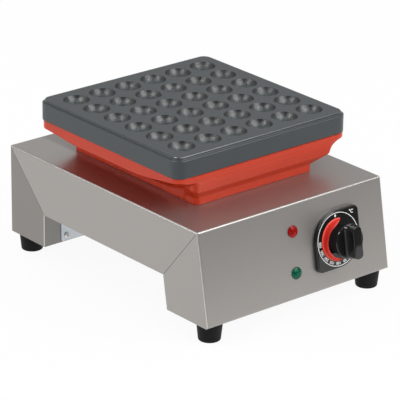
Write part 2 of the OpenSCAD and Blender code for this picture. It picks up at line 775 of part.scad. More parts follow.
// Thermostat, dial and knob on the front panel
thermostat_back = sheet_t + thermostat_t;
thermostat_tabs = [[-tab_x, tab_y], [-tab_x, 0], [-tab_x, -tab_y], [tab_x, -tab_y]];
module tab(length) translate([0, 0, -length / 2]) cube([tab_w, tab_t, length], center = true);
module thermostat_body() color([0.85, 0.83, 0.78]) placed() on_front(knob_x, knob_down) difference() {
  union() {
    translate([-thermostat_w / 2, -thermostat_h / 2, -thermostat_back])
      cube([thermostat_w, thermostat_h, thermostat_t]);
    for (place = thermostat_tabs)
      translate([place[0], place[1], -thermostat_back]) tab(tab_len);
  }
  translate([0, 0, -sheet_t]) drill(spindle_d, spindle_gap, spindle_depth);
  for (side = [-1, 1]) translate([side * dial_screw_span / 2, 0, -sheet_t])
    drill(dial_screw_d, thread_gap, screw_bite + past);
}

// The spindle ends short of the thermostat's back and of the grip's face, and has a flat on its outer part.
spindle_end_gap = 5.5;
spindle_cover = 10;
flat_ratio = 0.35;
spindle_depth = thermostat_t - spindle_end_gap;
spindle_flat = flat_ratio * spindle_d;
spindle_top = knob_reach - spindle_cover;
module d_shaft(r, flat, h) difference() {
  cylinder(r = r, h = h);
  translate([flat, -2 * r, -past]) cube([2 * r, 4 * r, h + 2 * past]);
}
module thermostat_spindle() color("silver") placed() on_front(knob_x, knob_down) {
  translate([0, 0, -sheet_t - spindle_depth + past])
    cylinder(d = spindle_d, h = sheet_t + spindle_depth - past + bezel_t + knob_gap);
  translate([0, 0, bezel_t + knob_gap])
    d_shaft(spindle_d / 2, spindle_flat, spindle_top - bezel_t - knob_gap);
}

dial_head_d = head_ratio * dial_screw_d;
dial_seat = bezel_t - head_h_ratio * dial_screw_d - past / 2;
module bezel_outline() {
  circle(bezel_r);
  for (turn = [0, 180]) rotate(turn) {
    square([bezel_r, bezel_r - bezel_corner_r]);
    square([bezel_r - bezel_corner_r, bezel_r]);
    translate([bezel_r - bezel_corner_r, bezel_r - bezel_corner_r]) circle(bezel_corner_r);
  }
}
module dial_bezel() color([0.14, 0.14, 0.14]) placed() difference() {
  on_front(knob_x, knob_down) linear_extrude(bezel_t) bezel_outline();
  on_front(knob_x, knob_down) drill(dial_hole_d, 0, 2 * bezel_t);
  at_dial_screws() {
    drill(dial_screw_d, hole_gap, 2 * bezel_t);
    translate([0, 0, dial_seat]) cylinder(d = dial_head_d + 2 * hole_gap, h = bezel_t);
  }
}
module dial_screws() color("gainsboro") placed() at_dial_screws() translate([0, 0, dial_seat])
  pan_screw(dial_screw_d, dial_seat + sheet_t + screw_bite);

module control_knob() color([0.13, 0.13, 0.13]) placed() on_front(knob_x, knob_down) difference() {
  union() {
    translate([0, 0, bezel_t + knob_gap])
      cylinder(d1 = knob_waist_d, d2 = knob_d, h = knob_base_top - bezel_t - knob_gap);
    intersection() {
      translate([-grip_w / 2, -grip_len, knob_base_top - past])
        cube([grip_w, 2 * grip_len, knob_reach - knob_base_top + past]);
      cylinder(d = grip_len, h = knob_reach);
    }
  }
  d_shaft(spindle_d / 2 + spindle_gap, spindle_flat + spindle_gap, spindle_top + past / 2);
}

// Pilot lamps
lens_sphere_r = (lens_d * lens_d / 4 + lens_h * lens_h) / (2 * lens_h);
module lens(down) placed() on_front(lamp_x, down) rotate_extrude() intersection() {
  translate([0, lens_h - lens_sphere_r]) circle(lens_sphere_r);
  square([lens_d, lens_h]);
}
module lamp_body(down) color([0.9, 0.88, 0.82]) placed() on_front(lamp_x, down) {
  translate([0, 0, -lamp_len]) cylinder(d = lamp_d, h = lamp_len);
  for (side = [-1, 1]) translate([side * lamp_tab_x, 0, -lamp_len]) rotate(90) tab(tab_len - 2);
}
module red_lamp_lens() color([0.6, 0.05, 0.05]) lens(red_lamp_down);
module red_lamp_body() lamp_body(red_lamp_down);
module green_lamp_lens() color([0.0, 0.4, 0.25]) lens(green_lamp_down);
module green_lamp_body() lamp_body(green_lamp_down);
lamp_nut_h = 4;
lamp_nut_ratio = 1.5;
module lamp_nuts() color([0.15, 0.15, 0.15]) placed() at_lamps() translate([0, 0, -sheet_t - lamp_nut_h])
  hex_nut(lamp_nut_ratio * lamp_d, lamp_d, lamp_nut_h);

// Cable gland at the back: the cable hole through its clamping cap, and a wider hole through its thread
gland_nut_t = 4;
gland_taper = 0.7;
module cable_gland() color([0.16, 0.16, 0.16]) placed() on_back(gland_x, gland_up - housing_h) difference() {
  union() {
    translate([0, 0, -gland_thread_len]) cylinder(d = gland_d, h = gland_thread_len);
    hex_prism(gland_af, gland_hex_t);
    translate([0, 0, gland_hex_t]) cylinder(d1 = gland_af, d2 = gland_taper * gland_af, h = gland_cap_len);
  }
  drill(cable_d, 0, gland_hex_t + gland_cap_len + past);
  translate([0, 0, -gland_thread_len]) drill(gland_d - 2 * gland_wall, 0, gland_thread_len + gland_hex_t);
}
module gland_nut() color([0.16, 0.16, 0.16]) placed() on_back(gland_x, gland_up - housing_h)
  translate([0, 0, -sheet_t - gland_nut_t]) hex_nut(gland_af, gland_d, gland_nut_t);

// Terminal block inside the back panel, with a lead port for each pole
block_poles = 5;
port_depth = 6;
function port(i) = [
  block_x + (i - (block_poles - 1) / 2) * port_pitch,
  back_y - sheet_t - block_t,
  -block_down
];
module terminal_block() color("ivory") placed() difference() {
  translate([block_x - block_w / 2, back_y - sheet_t - block_t, -block_down - block_h / 2])
    cube([block_w, block_t, block_h]);
  at_block_screws() drill(block_screw_d, hole_gap, 2 * block_t);
  for (i = [0:block_poles - 1]) translate(port(i) + [0, block_t / 2, block_h / 2])
    drill(port_depth, 0, block_h / 4);
}
module terminal_screws() color("gainsboro") placed() at_block_screws()
  translate([0, 0, -sheet_t - block_t]) rotate([180, 0, 0]) pan_screw(block_screw_d, block_t + sheet_t);

// Rubber bush through the carrier's floor and the top sheet
module lead_bush() color([0.2, 0.2, 0.2]) placed() translate([0, -bush_front, 0]) difference() {
  union() {
    translate([0, 0, floor_t]) cylinder(d = bush_flange_d, h = bush_flange_t);
    translate([0, 0, -sheet_t - bush_flange_t])
      cylinder(d = bush_outer_d, h = floor_t + sheet_t + 2 * bush_flange_t);
  }
  drill(bush_d, 0, 4 * floor_t);
}

// Leads: each runs from one tab, port or element end to another, square to both
function thermostat_tab(i) = front_point(
  knob_x + thermostat_tabs[i][0], knob_down - thermostat_tabs[i][1], -thermostat_back - tab_len
);
function lamp_tab(down, side) = front_point(lamp_x + side * lamp_tab_x, down, -lamp_len - tab_len + 2);
function in_bush(x, y, z) = [x, y - bush_front, z];
// Straight tails at the ends, and the places that the leads pass on their way
tail = 7;
lane_drop = 8;
lane_step = 12;
lamp_run = 34;
bush_run = 20;
thermostat_run = [-16, 28, 12];
supply_run = [0, 60, 10];
capillary_run = [-20, 40, 16];
bush_lead_x = bush_d / 4;
bush_lead_y = bush_d / 8;
bush_tube_y = -bush_d / 4;
under_sheet = -15;
under_board = (floor_t + boss_h) / 2;
over_bush = floor_t + 3;
inward = -panel_out;
backward = [0, 1, 0];
upward = [0, 0, 1];

module supply_leads() color("saddlebrown") placed() {
  lead(
    [
      port(4),
      port(4) - tail * backward,
      [port(4)[0], 0, -block_down - lane_drop / 2],
      thermostat_tab(3) + supply_run,
      thermostat_tab(3) + tail * inward,
      thermostat_tab(3)
    ],
    lead_d, -backward, -inward
  );
  lead(
    [
      port(2),
      port(2) - tail * backward,
      [port(2)[0], 0, -block_down],
      in_bush(2 * bush_lead_x, bush_run, 2 * under_sheet),
      in_bush(bush_lead_x, bush_lead_y, under_sheet),
      in_bush(bush_lead_x, bush_lead_y, over_bush),
      in_bush(bush_lead_x + tail, bush_flange_d / 2, under_board),
      [leg_x, leg_y - 2 * tail, under_board],
      [leg_x, leg_y, under_board + lead_d / 2],
      [leg_x, leg_y, leg_end_z]
    ],
    lead_d, -backward, upward
  );
}
module heater_leads() color("firebrick") placed()
  lead(
    [
      thermostat_tab(1),
      thermostat_tab(1) + tail * inward,
      thermostat_tab(1) + thermostat_run,
      in_bush(-bush_run / 2, -bush_run, 2 * under_sheet),
      in_bush(-bush_lead_x, bush_lead_y, under_sheet),
      in_bush(-bush_lead_x, bush_lead_y, over_bush),
      in_bush(-bush_lead_x - tail, bush_flange_d / 2, under_board),
      [-leg_x, leg_y - 2 * tail, under_board],
      [-leg_x, leg_y, under_board + lead_d / 2],
      [-leg_x, leg_y, leg_end_z]
    ],
    lead_d, inward, upward
  );
module lamp_leads() color("royalblue") placed() {
  for (i = [0, 1]) {
    down = [red_lamp_down, green_lamp_down][i];
    home = lamp_tab(down, -1);
    lane = -block_down - lane_drop - lane_step * i;
    lead(
      [
        port(1 - i),
        port(1 - i) - tail * backward,
        [port(1 - i)[0], 0, lane],
        [home[0] - tail * i, home[1] + lamp_run, lane],
        home + tail * inward,
        home
      ],
      lead_d, -backward, -inward
    );
    near = lamp_tab(down, 1);
    goal = thermostat_tab(2 * i);
    lead(
      [
        near,
        near + tail * inward,
        (near + goal) / 2 + lane_step * inward,
        goal + tail * inward,
        goal
      ],
      lead_d, inward, -inward
    );
  }
}
capillary_exit = front_point(knob_x + tab_x / 2, knob_down - tab_y, -thermostat_back);
module capillary_tube() color("goldenrod") placed()
  lead(
    [
      [0, bulb_front, heater_z + heater_t / 2],
      [0, bulb_front - tail, heater_z + heater_t / 2 - capillary_d / 2],
      [0, -(board_d + board_end_gap) / 2, boss_h + board_t],
      [0, -(board_d + board_end_gap) / 2, under_board + capillary_d],
      in_bush(0, -bush_outer_d / 2, over_bush + 2 * capillary_d),
      in_bush(0, bush_tube_y, floor_t),
      in_bush(0, bush_tube_y, under_sheet),
      capillary_exit + capillary_run,
      capillary_exit + tail * inward,
      capillary_exit
    ],
    capillary_d, -backward, -inward
  );

housing_shell();
bottom_cover();
cover_screws();
foot_front_left();
foot_front_right();
foot_rear_left();
foot_rear_right();
foot_screws();
foot_nuts();
plate_carrier();
carrier_bolts();
carrier_washers();
baking_plate();
heater_plate();
heating_element();
element_clamps();
clamp_screws();
heater_posts();
heater_screws();
insulation_board();
thermostat_bulb();
capillary_tube();
thermostat_body();
thermostat_spindle();
dial_bezel();
dial_screws();
control_knob();
red_lamp_lens();
red_lamp_body();
green_lamp_lens();
green_lamp_body();
lamp_nuts();
cable_gland();
gland_nut();
terminal_block();
terminal_screws();
lead_bush();
supply_leads();
heater_leads();
lamp_leads();
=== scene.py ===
"""The looks of a countertop poffertjes maker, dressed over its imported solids."""
import json
import math

import bmesh
import bpy
import numpy as np
from mathutils import Matrix, Vector


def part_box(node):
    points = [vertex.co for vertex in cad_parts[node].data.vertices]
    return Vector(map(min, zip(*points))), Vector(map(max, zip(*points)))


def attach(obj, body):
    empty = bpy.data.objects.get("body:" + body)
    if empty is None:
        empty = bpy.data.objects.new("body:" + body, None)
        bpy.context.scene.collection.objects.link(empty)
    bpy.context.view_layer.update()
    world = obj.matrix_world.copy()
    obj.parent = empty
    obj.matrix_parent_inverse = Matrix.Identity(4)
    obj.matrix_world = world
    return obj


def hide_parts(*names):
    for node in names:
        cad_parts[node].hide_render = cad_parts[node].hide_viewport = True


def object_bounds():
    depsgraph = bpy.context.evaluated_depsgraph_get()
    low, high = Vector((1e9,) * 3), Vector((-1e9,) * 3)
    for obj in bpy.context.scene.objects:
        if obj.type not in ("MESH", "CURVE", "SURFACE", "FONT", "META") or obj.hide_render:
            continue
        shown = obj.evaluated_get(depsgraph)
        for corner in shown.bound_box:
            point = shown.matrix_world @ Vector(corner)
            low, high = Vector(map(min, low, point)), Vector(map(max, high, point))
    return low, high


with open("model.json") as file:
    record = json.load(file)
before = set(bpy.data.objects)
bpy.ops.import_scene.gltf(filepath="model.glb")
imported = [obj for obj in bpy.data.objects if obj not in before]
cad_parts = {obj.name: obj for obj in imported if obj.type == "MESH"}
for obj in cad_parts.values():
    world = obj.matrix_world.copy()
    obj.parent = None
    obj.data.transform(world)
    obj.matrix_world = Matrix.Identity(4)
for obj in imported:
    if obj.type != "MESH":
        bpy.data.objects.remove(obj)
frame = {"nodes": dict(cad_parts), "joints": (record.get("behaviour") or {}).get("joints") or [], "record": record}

cad_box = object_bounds()
MM, WELD = 0.001, 1e-7
COOKER, KNOB, PLATE = "cooker", "knob", "plate"


def box_mm(node):
    """Lowest and highest corner of a CAD node, in millimetres."""
    lo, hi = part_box(node)
    return np.array(lo) / MM, np.array(hi) / MM


def new_object(name, data):
    """An object with that data, linked to the scene."""
    made = bpy.data.objects.new(name, data)
    bpy.context.scene.collection.objects.link(made)
    return made


# Node maths
def math_node(operation, swapped=False):
    """A method of a wire that works it through a Math node, as the last term if swapped."""
    def worked(self, *others):
        node = self.tree.nodes.new("ShaderNodeMath")
        node.operation = operation
        terms = [self, *others]
        for place, term in enumerate(reversed(terms) if swapped else terms):
            connect(self.tree, node.inputs[place], term)
        return Wire(self.tree, node.outputs[0])
    return worked


class Wire:
    """A socket of a material's nodes. Arithmetic on it adds Math nodes."""

    def __init__(self, tree, socket):
        self.tree, self.socket = tree, socket

    __add__ = __radd__ = math_node("ADD")
    __sub__, __rsub__ = math_node("SUBTRACT"), math_node("SUBTRACT", swapped=True)
    __mul__ = __rmul__ = math_node("MULTIPLY")
    __gt__, __lt__ = math_node("GREATER_THAN"), math_node("LESS_THAN")
    __abs__, at_least = math_node("ABSOLUTE"), math_node("MAXIMUM")


def connect(tree, socket, value):
    """Links a wire to a socket, or sets the socket to a plain value."""
    if isinstance(value, Wire):
        tree.links.new(value.socket, socket)
    elif hasattr(socket.default_value, "__len__") and len(socket.default_value) == 4:
        socket.default_value = (*value, 1.0)
    else:
        socket.default_value = value


class Nodes:
    """A node tree to which nodes are added by type, settings and inputs."""

    def __init__(self, tree):
        self.tree = tree

    def add(self, kind, settings=None, inputs=None, output=0):
        node = self.tree.nodes.new(kind)
        for name, value in (settings or {}).items():
            setattr(node, name, value)
        for key, value in (inputs or {}).items():
            connect(self.tree, node.inputs[key], value)
        return Wire(self.tree, node.outputs[output])

    def mixed(self, share, first, second):
        """One colour turning into another as share goes from 0 to 1."""
        return self.add("ShaderNodeMix", {"data_type": "RGBA"}, {0: share, 6: first, 7: second}, 2)

    def eased(self, value, low, high, start=0.0, end=1.0):
        """A soft step from start to end as value goes from low to high."""
        return self.add(
            "ShaderNodeMapRange", {"interpolation_type": "SMOOTHSTEP"},
            {"Value": value, "From Min": low, "From Max": high, "To Min": start, "To Max": end})


class Finish(Nodes):
    """A material with one principled shader, fed by its own nodes."""

    def __init__(self, name, **sockets):
        self.material = bpy.data.materials.new(name)
        self.material.use_nodes = True
        super().__init__(self.material.node_tree)
        self.shader = self.tree.nodes["Principled BSDF"]
        self.place = self.add("ShaderNodeTexCoord", output="Object")
        self.feed(**sockets)

    def feed(self, **sockets):
        """Sets the shader's sockets, named with _ for a space."""
        for name, value in sockets.items():
            connect(self.tree, self.shader.inputs[name.replace("_", " ").title()
                                                  .replace("Ior", "IOR")], value)
        return self

    def stretched(self, scale):
        """The object's coordinates, scaled along each axis."""
        return self.add("ShaderNodeVectorMath", {"operation": "MULTIPLY"}, {0: self.place, 1: scale})

    def noise(self, scale, detail=3.0, roughness=0.55, place=None, distortion=0.0):
        return self.add("ShaderNodeTexNoise", None, {
            "Vector": place or self.place, "Scale": scale, "Detail": detail,
            "Roughness": roughness, "Distortion": distortion})

    def cells(self, scale, feature="F1", output="Distance"):
        return self.add("ShaderNodeTexVoronoi", {"feature": feature},
                        {"Vector": self.place, "Scale": scale}, output)

    def axis(self, name, place=None):
        return self.add("ShaderNodeSeparateXYZ", None, {0: place or self.place}, name)

    def bumped(self, height, depth, strength=0.4):
        """Feeds a bump of that depth in metres to the shader's normal."""
        normal = self.add("ShaderNodeBump", None,
                          {"Strength": strength, "Distance": depth, "Height": height})
        return self.feed(normal=normal)


# Finishes
STEEL_DARK, STEEL_LIGHT = (0.362, 0.343, 0.326), (0.398, 0.378, 0.360)
# The top sheet's painted reflection strip beside the carrier
STEEL_REFLECTION_STRIP = (0.49, 0.465, 0.445)
# Painted shade for the rear flange and painted highlight for the folds
STEEL_FLANGE_SHADE, STEEL_FOLD_HIGHLIGHT = (0.245, 0.230, 0.216), (0.66, 0.64, 0.615)
STEEL_SHADED = (0.21, 0.205, 0.195)
BRUSH_ALONG, BRUSH_ACROSS = 9, 2600
# The rear seam in the sides, as y from z, and the rear leg's inner corner, in metres
SEAM_SLOPE = 74.5 / 77.5
LEG_Y, ARCH_Z, LEG_FOLD, NEAR_LEG = 0.13859, 0.0705, 0.0016, 0.05
SEAM_START = LEG_Y - ARCH_Z * SEAM_SLOPE
# Where the top sheet's painted reflection strip fades in, along x and along y, in metres
REFLECTION_STRIP_X, REFLECTION_STRIP_Y = (-0.098, -0.108), (-0.135, -0.045)


def brushed_steel():
    """Satin sheet, brushed along its length, with a painted highlight along its folds, painted shade on the rear
    flange and the legs' inner faces, and a painted reflection on the top sheet's left strip.
    """
    steel = Finish("stainless_sheet")
    normal = steel.add("ShaderNodeNewGeometry", output="Normal")
    sideways_x, deep_y, upright_z = (abs(steel.axis(name, normal)) for name in "XYZ")
    on_side = steel.eased(sideways_x, 0.6, 0.8)
    across_top = steel.noise(1.0, 4.0, 0.6, steel.stretched((BRUSH_ALONG, BRUSH_ACROSS, BRUSH_ACROSS)))
    along_side = steel.noise(1.0, 4.0, 0.6, steel.stretched((BRUSH_ACROSS, BRUSH_ALONG, BRUSH_ACROSS)))
    streaks = across_top + on_side * (along_side - across_top)
    wiped = steel.noise(7.0, 3.0, 0.5, distortion=0.6)
    tone = steel.mixed(streaks, STEEL_DARK, STEEL_LIGHT)
    # The rear leg's flange, behind its open seam, is painted darker and warmer: painted shade for the different
    # way it reflects
    along_y, along_z = steel.axis("Y"), steel.axis("Z")
    behind_seam = along_y - along_z * SEAM_SLOPE - SEAM_START
    rear_flange_shade = (behind_seam > 0.0) * on_side
    tone = steel.mixed(rear_flange_shade * 0.85, tone, STEEL_FLANGE_SHADE)
    # The legs' inner faces are painted in their own shade, and the rear one's front corner gets a painted
    # highlight
    behind_leg = along_y - LEG_Y
    inner_face = (deep_y > 0.9) * (abs(behind_leg) < NEAR_LEG)
    tone = steel.mixed(inner_face * 0.75, tone, STEEL_SHADED)
    leg_corner_highlight = (behind_leg > 0.0) * (behind_leg < LEG_FOLD) * (along_z < ARCH_Z) * on_side
    # Painted highlight: the folds, where the normal lies between the sheet's faces, are painted lighter and made
    # smoother
    flat = sideways_x.at_least(deep_y).at_least(upright_z)
    fold_highlight = (1 - steel.eased(flat, 0.80, 0.90)) * steel.eased(sideways_x, 0.2, 0.5, 0.15, 1.0)
    fold_highlight = fold_highlight.at_least(leg_corner_highlight)
    tone = steel.mixed(fold_highlight, tone, STEEL_FOLD_HIGHLIGHT)
    # The top sheet's left strip, beside the carrier, is painted lighter, smoother and more metallic: a painted
    # reflection of the carrier
    reflection_strip = steel.eased(steel.axis("X"), *REFLECTION_STRIP_X) * steel.eased(upright_z, 0.8, 0.95)
    reflection_strip = reflection_strip * steel.eased(along_y, *REFLECTION_STRIP_Y)
    tone = steel.mixed(reflection_strip, tone, STEEL_REFLECTION_STRIP)
    steel.feed(base_color=tone, roughness=0.33 + streaks * 0.06 + wiped * 0.04 - fold_highlight * 0.12 - reflection_strip * 0.08,
               metallic=0.86 + reflection_strip * 0.12)
    return steel.bumped(streaks, 0.000003, 0.3).material


def mottled(name, noise, dark, light, smooth, rough, depth, **sockets):
    """A finish whose tone, roughness and bump all follow one noise."""
    finish = Finish(name, **sockets)
    patch = finish.noise(*noise)
    finish.feed(base_color=finish.mixed(patch, dark, light), roughness=smooth + patch * rough)
    return finish.bumped(patch, depth).material


def zinc_sheet():
    """Plated sheet with faint crystals."""
    zinc = Finish("zinc_sheet", metallic=1.0)
    crystal = zinc.cells(160.0, output="Color")
    patch = zinc.axis("X", crystal)
    haze = zinc.noise(60.0, 4.0)
    tone = zinc.mixed(patch * 0.6 + haze * 0.4, (0.47, 0.50, 0.54), (0.60, 0.63, 0.66))
    zinc.feed(base_color=tone, roughness=0.30 + patch * 0.08 + haze * 0.06)
    return zinc.bumped(haze, 0.00001).material


def bright_plate():
    """Plated screws: bright metal with a fine grain and duller patches."""
    plated = Finish("bright_plating", metallic=1.0)
    grain = plated.noise(900.0)
    dull = plated.noise(90.0, 2.0)
    plated.feed(base_color=plated.mixed(dull, (0.60, 0.60, 0.58), (0.74, 0.73, 0.71)),
                roughness=0.16 + grain * 0.10 + dull * 0.08)
    return plated.bumped(grain, 0.000008).material


def foot_rubber():
    """Moulded black rubber with dust in its grain."""
    rubber = Finish("foot_rubber", specular_ior_level=0.15)
    grain = rubber.noise(1600.0, 4.0, 0.65)
    dust = rubber.eased(rubber.noise(55.0), 0.45, 0.8)
    rubber.feed(base_color=rubber.mixed(dust * 0.5, (0.006, 0.006, 0.006), (0.014, 0.0135, 0.013)),
                roughness=0.50 + grain * 0.15)
    return rubber.bumped(grain, 0.00006, 0.5).material


def red_enamel():
    """Fired enamel on a casting: orange peel and slightly uneven colour."""
    enamel = Finish("red_enamel", specular_ior_level=0.30)
    peel = enamel.noise(420.0, 2.0, 0.45)
    cloud = enamel.noise(18.0)
    speck = enamel.eased(enamel.noise(1500.0, 2.0), 0.68, 0.78)
    tone = enamel.mixed(cloud, (0.445, 0.030, 0.008), (0.490, 0.036, 0.010))
    tone = enamel.mixed(speck * 0.25, tone, (0.32, 0.020, 0.008))
    enamel.feed(base_color=tone, roughness=0.16 + peel * 0.08)
    return enamel.bumped(peel, 0.00003).material


def pebbled(finish, depth):
    """Bumps a finish with the pebbles of a coated casting, and returns its grain."""
    grain = finish.noise(1400.0, 4.0, 0.6)
    finish.bumped(finish.cells(900.0, feature="SMOOTH_F1") * 0.6 + grain * 0.4, depth, 0.6)
    return grain


def plate_coating():
    """Coated cast aluminium: fine pebbled grain, speckled tone."""
    casting = Finish("coated_aluminium")
    grain, cloud = pebbled(casting, 0.00004), casting.noise(26.0, 4.0, 0.6)
    tone = casting.mixed(grain * 0.55 + cloud * 0.45, (0.0265, 0.0325, 0.0355), (0.0425, 0.0510, 0.0560))
    return casting.feed(base_color=tone, roughness=0.28 + grain * 0.12 + cloud * 0.05).material


def bowl_coating():
    """The bowls: coarse and speckled, with painted shade just under the mouth, paler further down."""
    bowl = Finish("bowl_coating", specular_ior_level=0.75)
    grain = pebbled(bowl, 0.00016)
    speckle = bowl.axis("X", bowl.cells(560.0, output="Color"))
    depth = cad_box[1][2] - bowl.axis("Z")
    tone = bowl.mixed(speckle * 0.6 + grain * 0.4, (0.020, 0.026, 0.027), (0.075, 0.088, 0.089))
    # Painted shade: the bowl is darkest just under its mouth
    tone = bowl.mixed(bowl.eased(depth, 0.0020, 0.0080), (0.005, 0.006, 0.007), tone)
    return bowl.feed(base_color=tone, roughness=0.24 + speckle * 0.20 + grain * 0.08).material


def arris_highlight():
    """The plate's upper arris: glossier, and painted lighter as a highlight."""
    # Painted highlight: a lighter tone than the rest of the coating
    return mottled("arris_highlight", (260.0,), (0.03, 0.034, 0.037), (0.08, 0.086, 0.09),
                   0.16, 0.14, 0.00003, specular_ior_level=1.0)


def bare_casting():
    """Milled aluminium heater plate, with cutter arcs and heat stains."""
    metal = Finish("bare_aluminium", metallic=1.0)
    arcs = metal.add("ShaderNodeTexWave", {"wave_type": "RINGS", "rings_direction": "Z"},
                     {"Vector": metal.place, "Scale": 260.0, "Distortion": 1.5, "Detail": 2.0}, "Fac")
    stain = metal.noise(14.0, 4.0, 0.6)
    tone = metal.mixed(metal.eased(stain, 0.4, 0.75), (0.60, 0.60, 0.60), (0.46, 0.43, 0.40))
    metal.feed(base_color=tone, roughness=0.34 + arcs * 0.05 + stain * 0.10)
    return metal.bumped(arcs, 0.00002).material


def element_sheath():
    """Steel tube gone dark and bluish with heat."""
    sheath = Finish("element_sheath", metallic=1.0)
    stain = sheath.noise(45.0, 4.0, 0.6)
    grain = sheath.noise(800.0)
    tone = sheath.mixed(sheath.eased(stain, 0.35, 0.7), (0.17, 0.16, 0.15), (0.13, 0.14, 0.17))
    sheath.feed(base_color=tone, roughness=0.38 + grain * 0.14)
    return sheath.bumped(grain, 0.00002).material


def fibre_board():
    """Pressed mineral fibre."""
    board = Finish("insulation", roughness=0.95)
    fibre = board.noise(1.0, 5.0, 0.7, board.stretched((300, 900, 900)))
    clump = board.noise(120.0, 4.0)
    board.feed(base_color=board.mixed(fibre * 0.6 + clump * 0.4, (0.60, 0.55, 0.45), (0.80, 0.76, 0.66)))
    return board.bumped(fibre + clump, 0.0004, 0.6).material


def copper_tube():
    """Drawn copper, stained in patches."""
    return mottled("copper", (110.0, 4.0, 0.6), (0.66, 0.36, 0.23), (0.50, 0.26, 0.17),
                   0.24, 0.16, 0.00003, metallic=1.0)


def moulded_plastic(name, dark, light, smooth, rough, depth, shine=0.5):
    """Moulded plastic with a fine spark-eroded grain."""
    plastic = Finish(name, specular_ior_level=shine)
    grain = plastic.noise(2200.0, 3.0, 0.6)
    cloud = plastic.noise(35.0)
    plastic.feed(base_color=plastic.mixed(cloud, dark, light),
                 roughness=smooth + (grain + cloud * 0.4) * rough)
    return plastic.bumped(grain, depth, 0.5).material


def lens_plastic(name, deep, bright):
    """Tinted moulding, brighter where its prisms catch the light."""
    lens = Finish(name, specular_ior_level=0.22)
    prism = lens.cells(430.0)
    cloud = lens.noise(240.0, 2.0)
    lens.feed(base_color=lens.mixed(lens.eased(prism, 0.15, 0.6) * 0.7 + cloud * 0.3, bright, deep),
              roughness=0.10 + cloud * 0.08)
    return lens.bumped(prism, 0.00012, 0.35).material


def printed_ink(name, dark, light):
    """Matt ink with a fine grain."""
    return mottled(name, (1800.0,), dark, light, 0.38, 0.14, 0.00001)


def wire_insulation(name, dark, light):
    """Soft lead insulation, unevenly scuffed."""
    return mottled(name, (320.0, 4.0, 0.6), dark, light, 0.42, 0.16, 0.00003)


finishes = {
    "stainless_sheet": brushed_steel(),
    "zinc_sheet": zinc_sheet(),
    "plated_steel": bright_plate(),
    "foot_rubber": foot_rubber(),
    "red_enamel": red_enamel(),
    "coated_aluminium": plate_coating(),
    "bare_aluminium": bare_casting(),
    "element_sheath": element_sheath(),
    "insulation": fibre_board(),
    "copper": copper_tube(),
    "cream_plastic": moulded_plastic(
        "cream_plastic", (0.66, 0.61, 0.49), (0.74, 0.69, 0.57), 0.36, 0.12, 0.00003),
    "black_plastic": moulded_plastic(
        "black_plastic", (0.006, 0.006, 0.006), (0.009, 0.009, 0.0088), 0.05, 0.03, 0.000004, 0.6),
    "red_lens": lens_plastic("red_lens", (0.11, 0.0005, 0.0005), (0.54, 0.006, 0.005)),
    "green_lens": lens_plastic("green_lens", (0.0, 0.030, 0.016), (0.001, 0.17, 0.092)),
    "brown_insulation": wire_insulation("brown_insulation", (0.16, 0.060, 0.025), (0.26, 0.11, 0.05)),
    "red_insulation": wire_insulation("red_insulation", (0.38, 0.035, 0.030), (0.50, 0.06, 0.05)),
    "blue_insulation": wire_insulation("blue_insulation", (0.035, 0.09, 0.36), (0.07, 0.15, 0.50)),
}
satin_black = moulded_plastic(
    "satin_black", (0.014, 0.012, 0.014), (0.020, 0.018, 0.020), 0.42, 0.10, 0.00002, 0.0)
white_ink = printed_ink("white_ink", (0.78, 0.78, 0.77), (0.86, 0.86, 0.85))
red_ink = printed_ink("red_ink", (0.84, 0.052, 0.030), (0.92, 0.068, 0.040))
# The crescent's channel floor is a darker red: painted shade in the groove between its beads
channel_shade = printed_ink("channel_shade", (0.68, 0.016, 0.009), (0.76, 0.022, 0.012))

for part in frame["record"]["subparts"]:
    solid = frame["nodes"][part["node"]]
    for slot in solid.material_slots:
        slot.material = finishes[part["material_slot"]]


# Meshes
QUARTER_TURN = np.linspace(0, math.pi / 2, 5)[1:]


class Skin:
    """Points, faces and finish numbers of one piece, gathered ring by ring."""

    def __init__(self):
        self.points, self.faces, self.marks = [], [], []

    def ring(self, points):
        first = sum(len(p) for p in self.points)
        self.points.append(np.asarray(points, float).reshape(-1, 3))
        return np.arange(first, first + len(self.points[-1]))

    def face(self, corners, mark=0):
        self.faces.append([int(c) for c in corners])
        self.marks.append(mark)

    def band(self, a, b, mark=0):
        """Four-sided faces between two closed rings of one length."""
        for near, far in zip(zip(a, np.roll(a, -1)), zip(b, np.roll(b, -1))):
            self.face((near[0], near[1], far[1], far[0]), mark)

    def stack(self, rings):
        """Rings joined one after another; returns their numbers."""
        made = [self.ring(r) for r in rings]
        for a, b in zip(made, made[1:]):
            self.band(a, b)
        return made

    def closed(self, rings):
        """Rings joined one after another, with a face over each end."""
        made = self.stack(rings)
        self.face(made[0])
        self.face(made[-1])

    def hoop(self, rings):
        """Rings joined one after another, and the last one to the first."""
        made = self.stack(rings)
        self.band(made[-1], made[0])

    def fan(self, ring, tip, mark=0):
        """Closes a ring with triangles to one point."""
        centre = self.ring([tip])[0]
        for a, b in zip(ring, np.roll(ring, -1)):
            self.face((a, b, centre), mark)

    def piece(self, name, body, slot, replaces=(), matrix=None, materials=None, crease=35.0):
        """Makes the object, in metres, riding on its body, in its slot's finish if no other is given."""
        mesh = bpy.data.meshes.new(name)
        points = np.vstack(self.points) * MM
        mesh.from_pydata(points.tolist(), [], self.faces)
        if matrix is not None:
            mesh.transform(matrix)
        mesh.polygons.foreach_set("material_index", self.marks)
        for material in materials or [finishes[slot]]:
            mesh.materials.append(material)
        work = bmesh.new()
        work.from_mesh(mesh)
        bmesh.ops.remove_doubles(work, verts=work.verts, dist=WELD)
        bmesh.ops.recalc_face_normals(work, faces=work.faces)
        for face in work.faces:
            face.smooth = True
        work.to_mesh(mesh)
        work.free()
        mesh.set_sharp_from_angle(angle=math.radians(crease))
        made = new_object(name, mesh)
        even = made.modifiers.new("even_shading", "WEIGHTED_NORMAL")
        even.keep_sharp = True
        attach(made, body)
        if replaces:
            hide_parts(*replaces)


